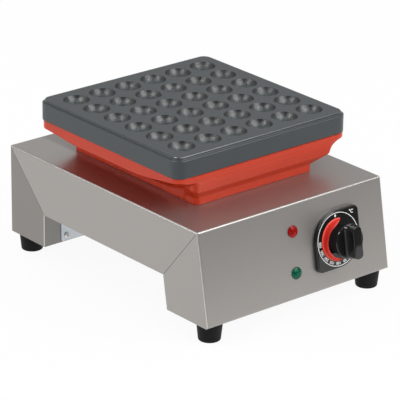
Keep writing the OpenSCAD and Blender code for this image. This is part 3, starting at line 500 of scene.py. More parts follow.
def circle(radius, z, count):
    """Points round a circle; radius and z may be one for each point."""
    turn = np.arange(count) * 2 * math.pi / count
    return np.stack([radius * np.cos(turn), radius * np.sin(turn), np.full(count, z)], 1)


def raised(outline, z):
    """A flat outline's points at height z."""
    return np.column_stack([outline, np.full(len(outline), z)])


def rounded_path(corners, radii, steps=5):
    """A polyline whose inner corners are rounded by arcs of the given radii."""
    corners = [np.array(c, float) for c in corners]
    path = [corners[0]]
    for before, corner, after, radius in zip(corners, corners[1:], corners[2:], radii):
        if radius <= 0:
            path.append(corner)
            continue
        a = (before - corner) / np.linalg.norm(before - corner)
        b = (after - corner) / np.linalg.norm(after - corner)
        half = math.acos(np.clip(a @ b, -1, 1)) / 2
        reach = radius / math.tan(half)
        centre = corner + (a + b) / np.linalg.norm(a + b) * radius / math.sin(half)
        start, end = corner + a * reach - centre, corner + b * reach - centre
        sweep = math.pi - 2 * half
        for step in range(steps + 1):
            t = step / steps
            path.append(centre + (math.sin((1 - t) * sweep) * start + math.sin(t * sweep) * end)
                        / math.sin(sweep))
    path.append(corners[-1])
    return np.array(path)


def turned(skin, profile, count, mark=0):
    """A lathe form from (radius, height) points; a radius of 0 closes it."""
    rings = []
    for radius, height in profile:
        if radius < 1e-6:
            skin.fan(rings[-1], (0, 0, height), mark)
        else:
            rings.append(skin.ring(circle(radius, height, count)))
            if len(rings) > 1:
                skin.band(rings[-2], rings[-1], mark)
    return rings


def reach_to(directions, half_w, half_d, radius):
    """Where rays from the middle leave a rounded rectangle."""
    c, s = np.abs(directions[:, 0]), np.abs(directions[:, 1])
    plain = np.minimum(half_w / np.maximum(c, 1e-9), half_d / np.maximum(s, 1e-9))
    cx, cy = half_w - radius, half_d - radius
    along = c * cx + s * cy
    inside = along ** 2 - (cx * cx + cy * cy - radius * radius)
    round_off = along + np.sqrt(np.maximum(inside, 0))
    corner = (plain * c > cx) & (plain * s > cy)
    return np.where(corner, round_off, plain)


def loop(directions, half_w, half_d, radius, z, middle_y):
    """A rounded rectangle's outline at height z, one point on each ray."""
    out = directions * reach_to(directions, half_w, half_d, radius)[:, None]
    return raised(out + (0, middle_y), z)


# Baking plate
DIMPLES, PITCH = 6, 43.0
BOWL_R, BOWL_DEPTH, MOUTH_ROUND = 19.2, 11.3, 0.6
CELL_POINTS = 12
PLATE_CORNER, LOWER_ROUND = 15.0, 0.8
# A hollow rebate runs round the top between two arrises, of which the upper one is glossier and painted lighter as
# a highlight
REBATE_W, REBATE_H, REBATE_HOLLOW, REBATE_LEAN, REBATE_STEP = 3.6, 3.8, 1.6, 0.3, 0.6
ARRIS_W, ARRIS_H, ARRIS_ROUND, TOP_MARGIN = 0.6, 0.68, 0.15, 3.0
SKIRT, RECESS, RECESS_CORNER = 8.0, 8.0, 11.5
PLAIN_MARK, BOWL_MARK, ARRIS_MARK = 0, 1, 2


def square_ring(half, count):
    """Points round a square, count to a side, from its lower left corner."""
    side = np.linspace(-half, half, count, endpoint=False)
    edge = np.full(count, half)
    return np.concatenate([np.column_stack(p) for p in (
        (side, -edge), (edge, side), (-side, edge), (-edge, -side))])


def bowl_profile():
    """Radius and depth from the flat top, over the rounded mouth, down the bowl."""
    rise = BOWL_R - BOWL_DEPTH
    away = math.sqrt((BOWL_R + MOUTH_ROUND) ** 2 - (rise + MOUTH_ROUND) ** 2)
    lean = math.atan2(away, rise + MOUTH_ROUND)
    mouth = [(away - MOUTH_ROUND * math.sin(t), MOUTH_ROUND * (math.cos(t) - 1))
             for t in np.linspace(0, lean, 5)]
    bowl = [(BOWL_R * math.sin(t), rise - BOWL_R * math.cos(t)) for t in np.linspace(lean, 0, 11)[1:-1]]
    return mouth, bowl


def baking_plate():
    lo, hi = box_mm("baking_plate")
    half_w, half_d = (hi - lo)[:2] / 2
    middle_y, top, bottom = (lo + hi)[1] / 2, hi[2], lo[2]
    skin = Skin()
    mouth, bowl = bowl_profile()
    cell = square_ring(PITCH / 2, CELL_POINTS)
    rays = cell / np.linalg.norm(cell, axis=1)[:, None]
    places = (np.arange(DIMPLES) - (DIMPLES - 1) / 2) * PITCH
    for x in places:
        for y in places:
            centre = np.array([x, y + middle_y, top])
            last, mark = skin.ring(raised(cell, 0.0) + centre), PLAIN_MARK
            for radius, depth in mouth + bowl:
                here = skin.ring(raised(rays * radius, depth) + centre)
                skin.band(last, here, mark)
                last, mark = here, BOWL_MARK
            skin.fan(last, centre - (0, 0, BOWL_DEPTH), BOWL_MARK)
    # Round the grid of cells: margin, rebate, side, underside and recess
    border = square_ring(DIMPLES * PITCH / 2, DIMPLES * CELL_POINTS)
    directions = border / np.linalg.norm(border, axis=1)[:, None]
    profile = rounded_path(
        [(REBATE_W + TOP_MARGIN, 0), (REBATE_W + ARRIS_W, 0), (REBATE_W, ARRIS_H),
         (REBATE_W - REBATE_LEAN, REBATE_H - REBATE_STEP), (ARRIS_W, REBATE_H), (0, REBATE_H + ARRIS_H),
         (0, top - bottom), (SKIRT, top - bottom)],
        [ARRIS_ROUND, ARRIS_ROUND, REBATE_HOLLOW, ARRIS_ROUND, ARRIS_ROUND, LOWER_ROUND], 4)
    rings = [raised(border + (0, middle_y), top)]
    rings += [loop(directions, half_w - inset, half_d - inset, PLATE_CORNER - inset, top - down, middle_y)
              for inset, down in profile[:-1]]
    rings += [loop(directions, half_w - SKIRT, half_d - SKIRT, RECESS_CORNER, z, middle_y)
              for z in (bottom, bottom + RECESS)]
    # The upper arris is the first slanted stretch of the profile
    upper_arris = next(place for place, (a, b) in enumerate(zip(profile, profile[1:]), 1)
                       if min(abs(b - a)) > ARRIS_W / 2)
    made = [skin.ring(ring) for ring in rings]
    for place, (a, b) in enumerate(zip(made, made[1:])):
        skin.band(a, b, ARRIS_MARK if place == upper_arris else PLAIN_MARK)
    skin.face(made[-1])
    coats = [finishes["coated_aluminium"], bowl_coating(), arris_highlight()]
    skin.piece("baking_plate_skin", PLATE, "coated_aluminium", ["baking_plate"], materials=coats, crease=25.0)


baking_plate()


# Plate carrier
CARRIER_H, PLINTH_H, PLINTH_EDGE = 49.0, 9.0, 0.5
# Heights of the rim's lower edge: along a side, at that side's front corner and at the rear
RIM_LEFT, RIM_LEFT_FRONT, RIM_RIGHT, RIM_RIGHT_FRONT, RIM_REAR = 32.5, 43.2, 35.5, 41.0, 37.6
LEFT_RISE, RIGHT_RISE, REAR_RISE = (-50.0, -160.0), (-55.0, -125.0), (60.0, 135.0)
# From the left corner it dips again along the front, down to the apron's end
FRONT_DIP, DIP_ALONG = 3.2, (-137.0, -118.0)
# Outlines: half width, half depth and corner radius
PLINTH, RIM = (98.0, 126.5, 8.0), (142.0, 142.5, 13.5)
# The apron bulges out in front, further to the right than to the left: heights, ends, front and corner
APRON_Z = (0.0, 9.0, 21.0, 24.0, 29.0, 34.0, 37.0, 40.0, 49.0)
APRON_LEFT = (98.0, 98.0, 108.5, 110.5, 112.0, 113.5, 116.0, 122.0, 124.0)
APRON_RIGHT = (98.0, 98.0, 123.9, 124.8, 125.5, 126.7, 130.2, 135.2, 138.0)
APRON_FRONT = (126.5, 126.5, 136.7, 137.8, 139.7, 141.5, 142.3, 142.5, 142.5)
APRON_CORNER = (8.0, 8.0, 9.5, 10.5, 11.5, 11.5, 11.5, 11.5, 11.5)
APRON_DEPTH = 26.0
LIP_H, LIP_OUTER, LIP_INNER = 5.0, (134.5, 135.0, 11.5), (132.0, 132.5, 8.5)
WELL, WELL_Z, FLOOR_Z, CAVITY_Z = (92.0, 120.5, 8.0), 15.0, 5.0, 43.0
CARRIER_POINTS, FLARE_SOFT, APRON_SOFT, JOIN_SOFT = 960, 0.9, 1.2, 3.0
SEARCH_NEAR, SEARCH_FAR, SEARCH_STEPS = 40.0, 230.0, 30
TO_LEFT, COVE_LEFT, COVE_RIGHT = (60.0, -60.0), 3.0, 1.6
# The rim reaches a little further out to the right
RIGHT_REACH, RIGHT_FROM = 1.4, 125.0
RIM_EDGE, LIP_EDGE = 1.2, 0.7


def softened(z, heights, values, soft):
    """A broken line through values at heights, averaged over soft to each side."""
    near = z[:, None] + np.linspace(-soft, soft, 21)[None, :]
    return np.interp(near, heights, values).mean(1)


def smooth_step(value, start, end):
    share = np.clip((value - start) / (end - start), 0, 1)
    return share * share * (3 - 2 * share)


def rect_distance(x, y, half_w, half_d, radius):
    """Distance outside a rounded rectangle, negative inside."""
    qx, qy = np.abs(x) - half_w + radius, np.abs(y) - half_d + radius
    outside = np.hypot(np.maximum(qx, 0), np.maximum(qy, 0))
    return outside + np.minimum(np.maximum(qx, qy), 0) - radius


def flare_share(x, y, z):
    """How far the flare has opened from the plinth to the rim's lower edge, whose height varies.

    A cove hollows it at the front corners beside the apron, more so at the left one.
    """
    to_left, to_front = smooth_step(x, *TO_LEFT), smooth_step(y, *RIGHT_RISE)
    left = (RIM_LEFT + (RIM_LEFT_FRONT - RIM_LEFT) * smooth_step(y, *LEFT_RISE)
            - FRONT_DIP * smooth_step(x, *DIP_ALONG) * to_front)
    right = RIM_RIGHT + (RIM_RIGHT_FRONT - RIM_RIGHT) * to_front
    top = right + (left - right) * to_left
    top = top + (RIM_REAR - top) * smooth_step(y, *REAR_RISE)
    bend = 1 + (COVE_RIGHT + (COVE_LEFT - COVE_RIGHT) * to_left) * to_front
    shifts = np.linspace(-FLARE_SOFT, FLARE_SOFT, 7)
    opened = sum(np.clip((z + shift - PLINTH_H) / (top - PLINTH_H), 0, 1) ** bend for shift in shifts)
    return opened / len(shifts)


def carrier_wall(directions, z):
    """How far each ray goes before it leaves the carrier, at each height."""
    left, right, front, round_off = (softened(z, APRON_Z, values, APRON_SOFT)[:, None] for values in (
        APRON_LEFT, APRON_RIGHT, APRON_FRONT, APRON_CORNER))
    near = np.full((len(z), len(directions)), SEARCH_NEAR)
    far = np.full_like(near, SEARCH_FAR)
    for _ in range(SEARCH_STEPS):
        middle = (near + far) / 2
        x, y = middle * directions[:, 0], middle * directions[:, 1]
        share = flare_share(x, y, z[:, None])
        a = rect_distance(x, y, *[p + (r - p) * share for p, r in zip(PLINTH, RIM)])
        b = rect_distance(x - (right - left) / 2, y + front - APRON_DEPTH / 2, (right + left) / 2,
                          APRON_DEPTH / 2, round_off)
        blend = np.maximum(JOIN_SOFT - np.abs(a - b), 0) / JOIN_SOFT
        inside = np.minimum(a, b) - blend ** 2 * JOIN_SOFT / 4 < 0
        near, far = np.where(inside, middle, near), np.where(inside, far, middle)
    return (near + far) / 2


def even_rays(half_w, half_d, radius, count):
    """Directions to points spaced evenly round a rounded rectangle."""
    fine = np.linspace(0, 2 * math.pi, 20001)
    rays = np.column_stack([np.cos(fine), np.sin(fine)])
    points = rays * reach_to(rays, half_w, half_d, radius)[:, None]
    run = np.concatenate([[0], np.cumsum(np.linalg.norm(np.diff(points, axis=0), axis=1))])
    turn = np.interp(np.linspace(0, run[-1], count, endpoint=False), run, fine)
    return np.column_stack([np.cos(turn), np.sin(turn)])


def plate_carrier():
    lo, hi = box_mm("plate_carrier")
    middle_y, base = (lo + hi)[1] / 2, lo[2]
    directions = even_rays(*RIM, CARRIER_POINTS)
    # Rings lie closest where the wall bends
    levels = np.concatenate([
        [0.0, PLINTH_EDGE], np.linspace(2, 6, 3), np.linspace(7, 24, 27), np.linspace(25, 33, 8),
        np.linspace(34, 44, 24), [46.0, CARRIER_H - RIM_EDGE]])
    reach = carrier_wall(directions, levels)
    reach[0] -= PLINTH_EDGE
    skin = Skin()
    rings = [raised(directions * r[:, None] + (0, middle_y), base + z) for r, z in zip(reach, levels)]

    def outline(shape, z, inset=0.0):
        half_w, half_d, radius = shape
        return loop(directions, half_w - inset, half_d - inset, max(radius - inset, 1.0), base + z, middle_y)

    for t in QUARTER_TURN:
        rings.append(outline(RIM, CARRIER_H - RIM_EDGE * (1 - math.sin(t)), RIM_EDGE * (1 - math.cos(t))))
    for ring in rings:
        ring[:, 0] += RIGHT_REACH * smooth_step(ring[:, 0], RIGHT_FROM, RIM[0])
    top = CARRIER_H + LIP_H
    rings += [outline(LIP_OUTER, CARRIER_H), outline(LIP_OUTER, top - LIP_EDGE),
              outline(LIP_OUTER, top, LIP_EDGE), outline(LIP_INNER, top, -LIP_EDGE),
              outline(LIP_INNER, top - LIP_EDGE), outline(LIP_INNER, CAVITY_Z),
              outline(WELL, WELL_Z), outline(WELL, FLOOR_Z)]
    skin.closed(rings)
    skin.piece("plate_carrier_skin", COOKER, "red_enamel", ["plate_carrier"], crease=50.0)


plate_carrier()


# Control panel: x right, y up the panel, z out from it, with the dial's middle at the origin
turn_joint = next(j for j in frame["joints"] if j["name"] == "knob_turn")
panel_out = -Vector(turn_joint["axis"]).normalized()
panel_right = Vector((1, 0, 0))
panel_up = panel_out.cross(panel_right)
panel = Matrix((panel_right, panel_up, panel_out)).transposed().to_4x4()
panel.translation = Vector(turn_joint["pos_m"])

BEZEL_R, BEZEL_CORNER, BEZEL_T, BEZEL_EDGE = 38.0, 8.0, 6.5, 2.0
BEZEL_BEVEL, BEZEL_BORDER, BEZEL_POINTS, DIAL_HOLE = 0.6, 6.0, 24, 6.0


def bezel_outline(inset):
    """A round outline with two square corners, upper right and lower left."""
    radius, corner, points = BEZEL_R - inset, BEZEL_CORNER - inset, []
    for turn in (0.0, math.pi):
        c, s = math.cos(turn), math.sin(turn)
        quarter = [(radius - corner + corner * math.cos(t), radius - corner + corner * math.sin(t))
                   for t in np.linspace(0, math.pi / 2, BEZEL_POINTS)]
        quarter += [(radius * math.cos(t), radius * math.sin(t))
                    for t in np.linspace(math.pi / 2, math.pi, 3 * BEZEL_POINTS)[1:-1]]
        points += [(c * x - s * y, s * x + c * y) for x, y in quarter]
    return np.array(points)


def dial_bezel():
    skin = Skin()
    profile = rounded_path(
        [(BEZEL_BEVEL, 0.0), (0.0, BEZEL_BEVEL), (0.0, BEZEL_T), (BEZEL_BORDER, BEZEL_T)], [0, BEZEL_EDGE])
    inner = bezel_outline(BEZEL_BORDER)
    hole = inner / np.linalg.norm(inner, axis=1)[:, None] * DIAL_HOLE
    skin.hoop([raised(bezel_outline(inset), z) for inset, z in profile]
              + [raised(hole, z) for z in (BEZEL_T, 0.0)])
    skin.piece("dial_bezel_skin", COOKER, "black_plastic", ["dial_bezel"], panel)


dial_bezel()

# The dial is printed a little to the left of the spindle, and not quite upright
PRINT_SHIFT, PRINT_TURN = -0.9, 1.0
dial = panel @ Matrix.Translation((PRINT_SHIFT * MM, 0, 0))
dial = dial @ Matrix.Rotation(math.radians(PRINT_TURN), 4, "Z")
PRINT_T, PRINT_SINK = 0.08, 0.15
PRINT_LOW, PRINT_TOP = BEZEL_T - PRINT_SINK, BEZEL_T + PRINT_T
RING_R, RING_W, RING_POINTS = 35.0, 0.9, 128
DOT_AT, DOT_WIDE, DOT_TALL, DOT_POINTS = (-1.2, 31.6), 1.4, 1.9, 32
# The sickle's outer radius, the beads along its edges, and which side of its section is the channel
CRESCENT_OUTER, CRESCENT_STEPS = 28.1, 96
BEAD_W, BEAD_H, BEAD_CREST, CHANNEL_SIDE, CHANNEL_MARK = 2.8, 0.7, 0.4, 3, 1
# Its inner edge, as radii at turns in degrees
CRESCENT_TURNS = (76.0, 80.0, 92.0, 115.0, 160.0, 200.0, 235.0, 262.0, 277.0)
CRESCENT_INNER = (27.3, 22.2, 18.2, 16.0, 15.6, 18.2, 21.3, 24.5, 27.6)
NUMBER_R, NUMBER_SIZE, FIRST_TURN, TURN_STEP = 31.0, 5.3, 166.5, 20.7
NUMBER_WEIGHT, UNIT_WEIGHT = 0.10, 0.12
NUMBERS = ("50", "100", "150", "200", "250", "300")
UNIT_PLACE, UNIT_SIZE, UNIT_TURN = (26.2, 30.6), 6.8, -8.0


def dial_ring():
    """The white ring near the bezel's edge and the dot inside its top, just proud of the bezel."""
    skin = Skin()
    skin.hoop([circle(RING_R + side * RING_W / 2, z, RING_POINTS)
               for side, z in ((-1, PRINT_LOW), (-1, PRINT_TOP), (1, PRINT_TOP), (1, PRINT_LOW))])
    dot = circle(1.0, 0.0, DOT_POINTS)[:, :2] * (DOT_WIDE, DOT_TALL) + DOT_AT
    skin.closed([raised(dot, z) for z in (PRINT_LOW, PRINT_TOP)])
    skin.piece("dial_ring_print", COOKER, "cream_plastic", (), dial, [white_ink])


def dial_crescent():
    """The red sickle that swells round the dial's left side, a shallow channel between two beads."""
    skin, rings = Skin(), []
    low, flat, high = PRINT_LOW, PRINT_TOP, BEZEL_T + BEAD_H
    for turn in np.linspace(CRESCENT_TURNS[0], CRESCENT_TURNS[-1], CRESCENT_STEPS):
        inner = np.interp(turn, CRESCENT_TURNS, CRESCENT_INNER)
        bead = min(BEAD_W, (CRESCENT_OUTER - inner) / 3)
        section = [(CRESCENT_OUTER, low), (CRESCENT_OUTER, flat), (CRESCENT_OUTER - bead * BEAD_CREST, high),
                   (CRESCENT_OUTER - bead, flat), (inner + bead, flat), (inner + bead * BEAD_CREST, high),
                   (inner, flat), (inner, low)]
        c, s = math.cos(math.radians(turn)), math.sin(math.radians(turn))
        rings.append([(radius * c, radius * s, z) for radius, z in section])
    skin.closed(rings)
    # The channel floor takes the darker red, as painted shade
    skin.marks[CHANNEL_SIDE::len(section)] = [CHANNEL_MARK] * (len(rings) - 1)
    skin.piece("dial_crescent_print", COOKER, "red_insulation", (), dial, [red_ink, channel_shade])


def lettering(text, size, weight):
    """The built-in font's outlines as a thin solid, centred on its own middle."""
    curve = bpy.data.curves.new("dial_text", "FONT")
    curve.body, curve.size, curve.extrude = text, size * MM, (PRINT_T + PRINT_SINK) / 2 * MM
    curve.offset = weight * MM
    curve.align_x, curve.align_y, curve.resolution_u = "CENTER", "CENTER", 3
    holder = new_object("dial_text", curve)
    bpy.context.view_layer.update()
    mesh = bpy.data.meshes.new_from_object(holder.evaluated_get(bpy.context.evaluated_depsgraph_get()))
    bpy.data.objects.remove(holder)
    return mesh


def dial_numbers():
    """The temperatures round the dial's lower left, and their unit in the bezel's upper corner."""
    gathered = bmesh.new()
    turns = [math.radians(FIRST_TURN + place * TURN_STEP) for place in range(len(NUMBERS))]
    texts = [(number, NUMBER_SIZE, NUMBER_WEIGHT, NUMBER_R * math.sin(turn), NUMBER_R * math.cos(turn), -turn)
             for number, turn in zip(NUMBERS, turns)]
    texts.append(("°C", UNIT_SIZE, UNIT_WEIGHT, *UNIT_PLACE, math.radians(UNIT_TURN)))
    for text, size, weight, x, y, turn in texts:
        mesh = lettering(text, size, weight)
        place = Matrix.Translation(Vector((x, y, (PRINT_LOW + PRINT_TOP) / 2)) * MM)
        mesh.transform(dial @ (place @ Matrix.Rotation(turn, 4, "Z")))
        gathered.from_mesh(mesh)
    bmesh.ops.remove_doubles(gathered, verts=gathered.verts, dist=WELD)
    mesh = bpy.data.meshes.new("dial_numbers")
    gathered.to_mesh(mesh)
    gathered.free()
    mesh.materials.append(white_ink)
    made = new_object("dial_numbers_print", mesh)
    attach(made, COOKER)


dial_ring()
dial_crescent()
dial_numbers()

KNOB_R, KNOB_WAIST, KNOB_LOW, KNOB_SHOULDER, KNOB_TOP = 23.0, 17.5, 7.0, 28.0, 44.0
UNDERSIDE_R, KNOB_ARRIS, ARRIS_CLEAR, KNOB_ROUNDS, SATIN_MARK = 4.0, 1.2, 0.1, (0.6, 0.2, 0.2), 1
GRIP_HALF, GRIP_R, GRIP_CORNER, GRIP_EDGE, GRIP_CROWN = 7.0, 21.5, 5.5, 1.0, 0.4
# How much the grip widens down to its foot, along its flanks and at its ends
GRIP_FOOT, GRIP_END_FOOT, GRIP_BEND, GRIP_SINK = 2.2, 0.8, 4, 0.5
KNOB_POINTS, GRIP_POINTS = 96, 120


def control_knob():
    """A flared drum with a bar grip that rises out of it on hollow flanks."""
    skin = Skin()
    drum = rounded_path(
        [(UNDERSIDE_R, KNOB_LOW), (KNOB_WAIST, KNOB_LOW), (KNOB_R, KNOB_SHOULDER - KNOB_ARRIS),
         (KNOB_R - KNOB_ARRIS / 2, KNOB_SHOULDER), (0.0, KNOB_SHOULDER)], KNOB_ROUNDS, 4)
    wall = [point for point in drum if point[1] < KNOB_SHOULDER - KNOB_ARRIS - ARRIS_CLEAR]
    rings = turned(skin, wall, KNOB_POINTS, SATIN_MARK)
    arris = skin.stack([circle(radius, z, KNOB_POINTS) for radius, z in drum[len(wall):-1]])
    skin.band(rings[-1], arris[0], SATIN_MARK)
    skin.face(arris[-1])
    skin.face(rings[0])
    directions = even_rays(GRIP_HALF, GRIP_R, GRIP_CORNER, GRIP_POINTS)
    rise = KNOB_TOP - KNOB_SHOULDER

    def outline(z, inset=0.0, scale=1.0):
        low = np.clip((KNOB_TOP - z) / rise, 0, 1) ** GRIP_BEND
        half_w, half_d = GRIP_HALF + GRIP_FOOT * low - inset, GRIP_R + GRIP_END_FOOT * low - inset
        out = loop(directions, half_w * scale, half_d * scale, (GRIP_CORNER - inset) * scale, z, 0.0)
        crown = GRIP_CROWN * (out[:, 1] / GRIP_R) ** 2 * np.clip((z - KNOB_SHOULDER) / rise, 0, 1)
        return out - np.column_stack([np.zeros((len(out), 2)), crown])

    grip = [outline(z) for z in np.linspace(KNOB_SHOULDER - GRIP_SINK, KNOB_TOP - GRIP_EDGE, 14)]
    grip += [outline(KNOB_TOP - GRIP_EDGE * (1 - math.sin(t)), GRIP_EDGE * (1 - math.cos(t)))
             for t in QUARTER_TURN]
    grip += [outline(KNOB_TOP, GRIP_EDGE, scale) for scale in (0.8, 0.55, 0.3)]
    made = skin.stack(grip)
    skin.fan(made[-1], (0, 0, KNOB_TOP))
    skin.face(made[0])
    skin.piece("control_knob_skin", KNOB, "black_plastic", ["control_knob"], panel,
               [finishes["black_plastic"], satin_black])


control_knob()


# Pilot lamps
LENS_R, LENS_WALL, LENS_SHOULDER, LENS_POINTS = 8.0, 1.0, ((7.75, 1.4), (7.3, 1.6)), 48
DOME_R, DOME_Z, DOME_H = 7.1, 1.6, 2.4


def lamp_lens(colour):
    """A domed lens with a short wall and a rounded shoulder."""
    node = colour + "_lamp_lens"
    lo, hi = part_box(node)
    place = panel.copy()
    offset = (lo + hi) / 2 - panel.translation
    across, upward = offset.dot(panel_right), offset.dot(panel_up)
    place.translation = panel.translation + panel_right * across + panel_up * upward
    skin = Skin()
    turns = np.linspace(math.pi / 2, 0, 9)[1:-1]
    dome = [(DOME_R * math.sin(t), DOME_Z + DOME_H * math.cos(t)) for t in turns]
    profile = [(LENS_R, 0.0), (LENS_R, LENS_WALL), *LENS_SHOULDER, *dome, (0.0, DOME_Z + DOME_H)]
    rings = turned(skin, profile, LENS_POINTS)
    skin.face(rings[0])
    skin.piece(node + "_skin", COOKER, colour + "_lens", [node], place)


lamp_lens("red")
lamp_lens("green")


# Feet
FOOT_H, FOOT_TOP_R, FOOT_BASE_R, FOOT_POINTS = 25.0, 17.0, 14.4, 64
FOOT_BORE, HOLLOW_R, HOLLOW_H, FOOT_ROUNDS = 3.3, 8.0, 19.0, (0.7, 2.2, 0.6, 0.4)


def foot(node):
    """A tapered rubber foot, hollow round its screw."""
    lo, hi = box_mm(node)
    skin = Skin()
    profile = rounded_path(
        [(FOOT_BORE, FOOT_H), (FOOT_TOP_R, FOOT_H), (FOOT_BASE_R, 0.0), (HOLLOW_R, 0.0),
         (HOLLOW_R, HOLLOW_H), (FOOT_BORE, HOLLOW_H)], FOOT_ROUNDS)
    skin.hoop([circle(radius, z, FOOT_POINTS) for radius, z in profile])
    middle = Matrix.Translation(Vector(((lo[0] + hi[0]) / 2, (lo[1] + hi[1]) / 2, lo[2])) * MM)
    skin.piece(node + "_skin", COOKER, "foot_rubber", [node], middle)


for corner in ("front_left", "front_right", "rear_left", "rear_right"):
    foot("foot_" + corner)


# Screws of the bottom cover: domed heads with a cross recess
HEAD_R, HEAD_H, HEAD_EDGE, HEAD_FALL, HEAD_BEND = 4.0, 2.6, 0.2, 0.62, 2.4
HEAD_INSET, HEAD_MIDDLE, HEAD_STEPS, SCREW_POINTS = 0.25, 0.2, 20, 48
RECESS_R, RECESS_DEEP, RECESS_SLOPE, ARM_HALF, ARM_SLOPE = 2.3, 1.5, 0.4, 0.42, 0.25
SHANK_R, SHANK_LEN, POINT_TAPER = 2.0, 8.7, 0.8
THREAD_STEP, THREAD_DEEP, THREAD_START = 0.7, 0.35, 0.5
COVER_T, COVER_SCREW_X = 1.2, 119.0
FRONT_LEAN = math.asin(panel_out.z)
# The place of each pair's seat, as y and z, and the way its heads face
COVER_SCREWS = (
    ((138.59, 34.0), (0.0, -1.0, 0.0)),
    ((-115.42, 34.0), (0.0, math.cos(FRONT_LEAN), -math.sin(FRONT_LEAN))),
    ((14.87, 70.5), (0.0, 0.0, -1.0)))


def screw_head_height(radius, turn):
    """Height of the dome less the cross that a driver fits."""
    dome = HEAD_H * (1 - HEAD_FALL * (radius / HEAD_R) ** HEAD_BEND)
    across = np.minimum(np.abs(radius * np.cos(turn)), np.abs(radius * np.sin(turn)))
    in_arm = 1 - smooth_step(across, ARM_HALF, ARM_HALF + ARM_SLOPE)
    in_recess = 1 - smooth_step(radius, RECESS_R - RECESS_SLOPE, RECESS_R)
    return dome - RECESS_DEEP * (in_arm * in_recess)


def screw_rings(place):
    """Rings of one screw from its point to the middle of its head, its seat at z 0."""
    turn = np.arange(SCREW_POINTS) * 2 * math.pi / SCREW_POINTS
    thread = [(SHANK_R - THREAD_DEEP * (step % 2), -SHANK_LEN + THREAD_START + step * THREAD_STEP / 2)
              for step in range(round((SHANK_LEN - 2 * THREAD_START) / THREAD_STEP * 2))]
    profile = [(SHANK_R - POINT_TAPER, -SHANK_LEN), *thread, (SHANK_R, 0.0),
               (HEAD_R - HEAD_EDGE, 0.0), (HEAD_R, HEAD_EDGE)]
    rings = [circle(radius, z, SCREW_POINTS) for radius, z in profile]
    for radius in (HEAD_R, *np.linspace(HEAD_R - HEAD_INSET, HEAD_MIDDLE, HEAD_STEPS)):
        rings.append(circle(radius, screw_head_height(radius, turn), SCREW_POINTS))
    return [np.array([place @ Vector(p) for p in ring]) for ring in rings]


def cover_screws():
    skin = Skin()
    for side in (-1, 1):
        for (y, z), out in COVER_SCREWS:
            place = Vector(out).to_track_quat("Z", "X").to_matrix().to_4x4()
            place.translation = Vector((side * COVER_SCREW_X, y, z)) + Vector(out) * COVER_T
            skin.closed(screw_rings(place))
    skin.piece("cover_screws_skin", COOKER, "plated_steel", ["cover_screws"])


cover_screws()

# Cable gland: thread, chamfered hexagon and a ribbed clamping cap round the cable hole
GLAND_AT, GLAND_POINTS = (-60.0, 213.09, 55.0), 192
TUBE_R, TUBE_LEN, TUBE_STEP, TUBE_DEEP = 8.0, 12.0, 0.75, 0.45
FLATS_R, HEXAGON_H, HEXAGON_BEVEL, CORNER_CUT = 11.0, 5.0, 0.6, 0.9
CAP_H, CAP_FOOT, CAP_TAPER, RIBBED, RIBS, RIB_DEEP = 14.0, 0.8, 0.2, (0.15, 0.82), 16, 0.5
BORE_R, BORE_STEP, CABLE_R, CABLE_BEVEL = 5.5, 1.0, 4.5, 0.5
# The cap's rounded end, as shares of the hexagon's inner radius and depths below the end
CAP_END = ((0.80, 2.0), (0.74, 0.7), (0.66, 0.0))


def cable_gland():
    turn = np.arange(GLAND_POINTS) * 2 * math.pi / GLAND_POINTS
    flats = FLATS_R / np.cos((turn + math.pi / 6) % (math.pi / 3) - math.pi / 6)
    ribs = RIB_DEEP * (0.5 + 0.5 * np.cos(turn * RIBS)) ** 3

    def ring(radius, z):
        return circle(radius, z, GLAND_POINTS)

    thread = [ring(TUBE_R - TUBE_DEEP * (step % 2), -TUBE_LEN + step * TUBE_STEP)
              for step in range(round(TUBE_LEN / TUBE_STEP))]
    corner = np.minimum(flats, FLATS_R + CORNER_CUT)
    hexagon = [ring(TUBE_R, 0.0), ring(corner, 0.0), ring(flats, HEXAGON_BEVEL),
               ring(flats, HEXAGON_H - HEXAGON_BEVEL), ring(corner, HEXAGON_H)]
    cap_end = HEXAGON_H + CAP_H
    cap = [ring(FLATS_R - HEXAGON_BEVEL, HEXAGON_H), ring(FLATS_R - ribs, HEXAGON_H + CAP_FOOT)]
    cap += [ring(FLATS_R * (1 - CAP_TAPER * share) - ribs, HEXAGON_H + CAP_H * share)
            for share in np.linspace(*RIBBED, 8)]
    cap += [ring(FLATS_R * share, cap_end - below) for share, below in CAP_END]
    cap += [ring(radius, z) for radius, z in (
        (CABLE_R + CABLE_BEVEL, cap_end), (CABLE_R, cap_end - CABLE_BEVEL), (CABLE_R, HEXAGON_H),
        (BORE_R, HEXAGON_H - BORE_STEP), (BORE_R, -TUBE_LEN))]
    skin = Skin()
    skin.hoop(thread + hexagon + cap)
    place = Matrix.Translation(Vector(GLAND_AT) * MM) @ Matrix.Rotation(-math.pi / 2, 4, "X")
    skin.piece("cable_gland_skin", COOKER, "black_plastic", ["cable_gland"], place)


cable_gland()


# Camera
CAMERA_AT = Vector((-2.1397, -2.5214, 1.4411))
YAW, PITCH_DOWN, ROLL = math.radians(-40.27), math.radians(22.11), math.radians(0.733)
LENS, SENSOR = 244.5, 36.0
camera_data = bpy.data.cameras.new("camera")
camera_data.lens, camera_data.sensor_width, camera_data.clip_end = LENS, SENSOR, 100.0
camera = new_object("camera", camera_data)
view = Matrix.Translation(CAMERA_AT)
for turn, axis in ((YAW, "Z"), (math.pi / 2 - PITCH_DOWN, "X"), (ROLL, "Z")):
    view = view @ Matrix.Rotation(turn, 4, axis)
camera.matrix_world = view
bpy.context.scene.camera = camera


# Studio
FLOOR_HALF, FLOOR_TONE, WHITE_SHARE, PAST_PAPER_TONE = 12.0, 0.9, 0.93, 0.10
# Where the pale paper ends in front of the object, as y in metres
PAPER_END = -0.69
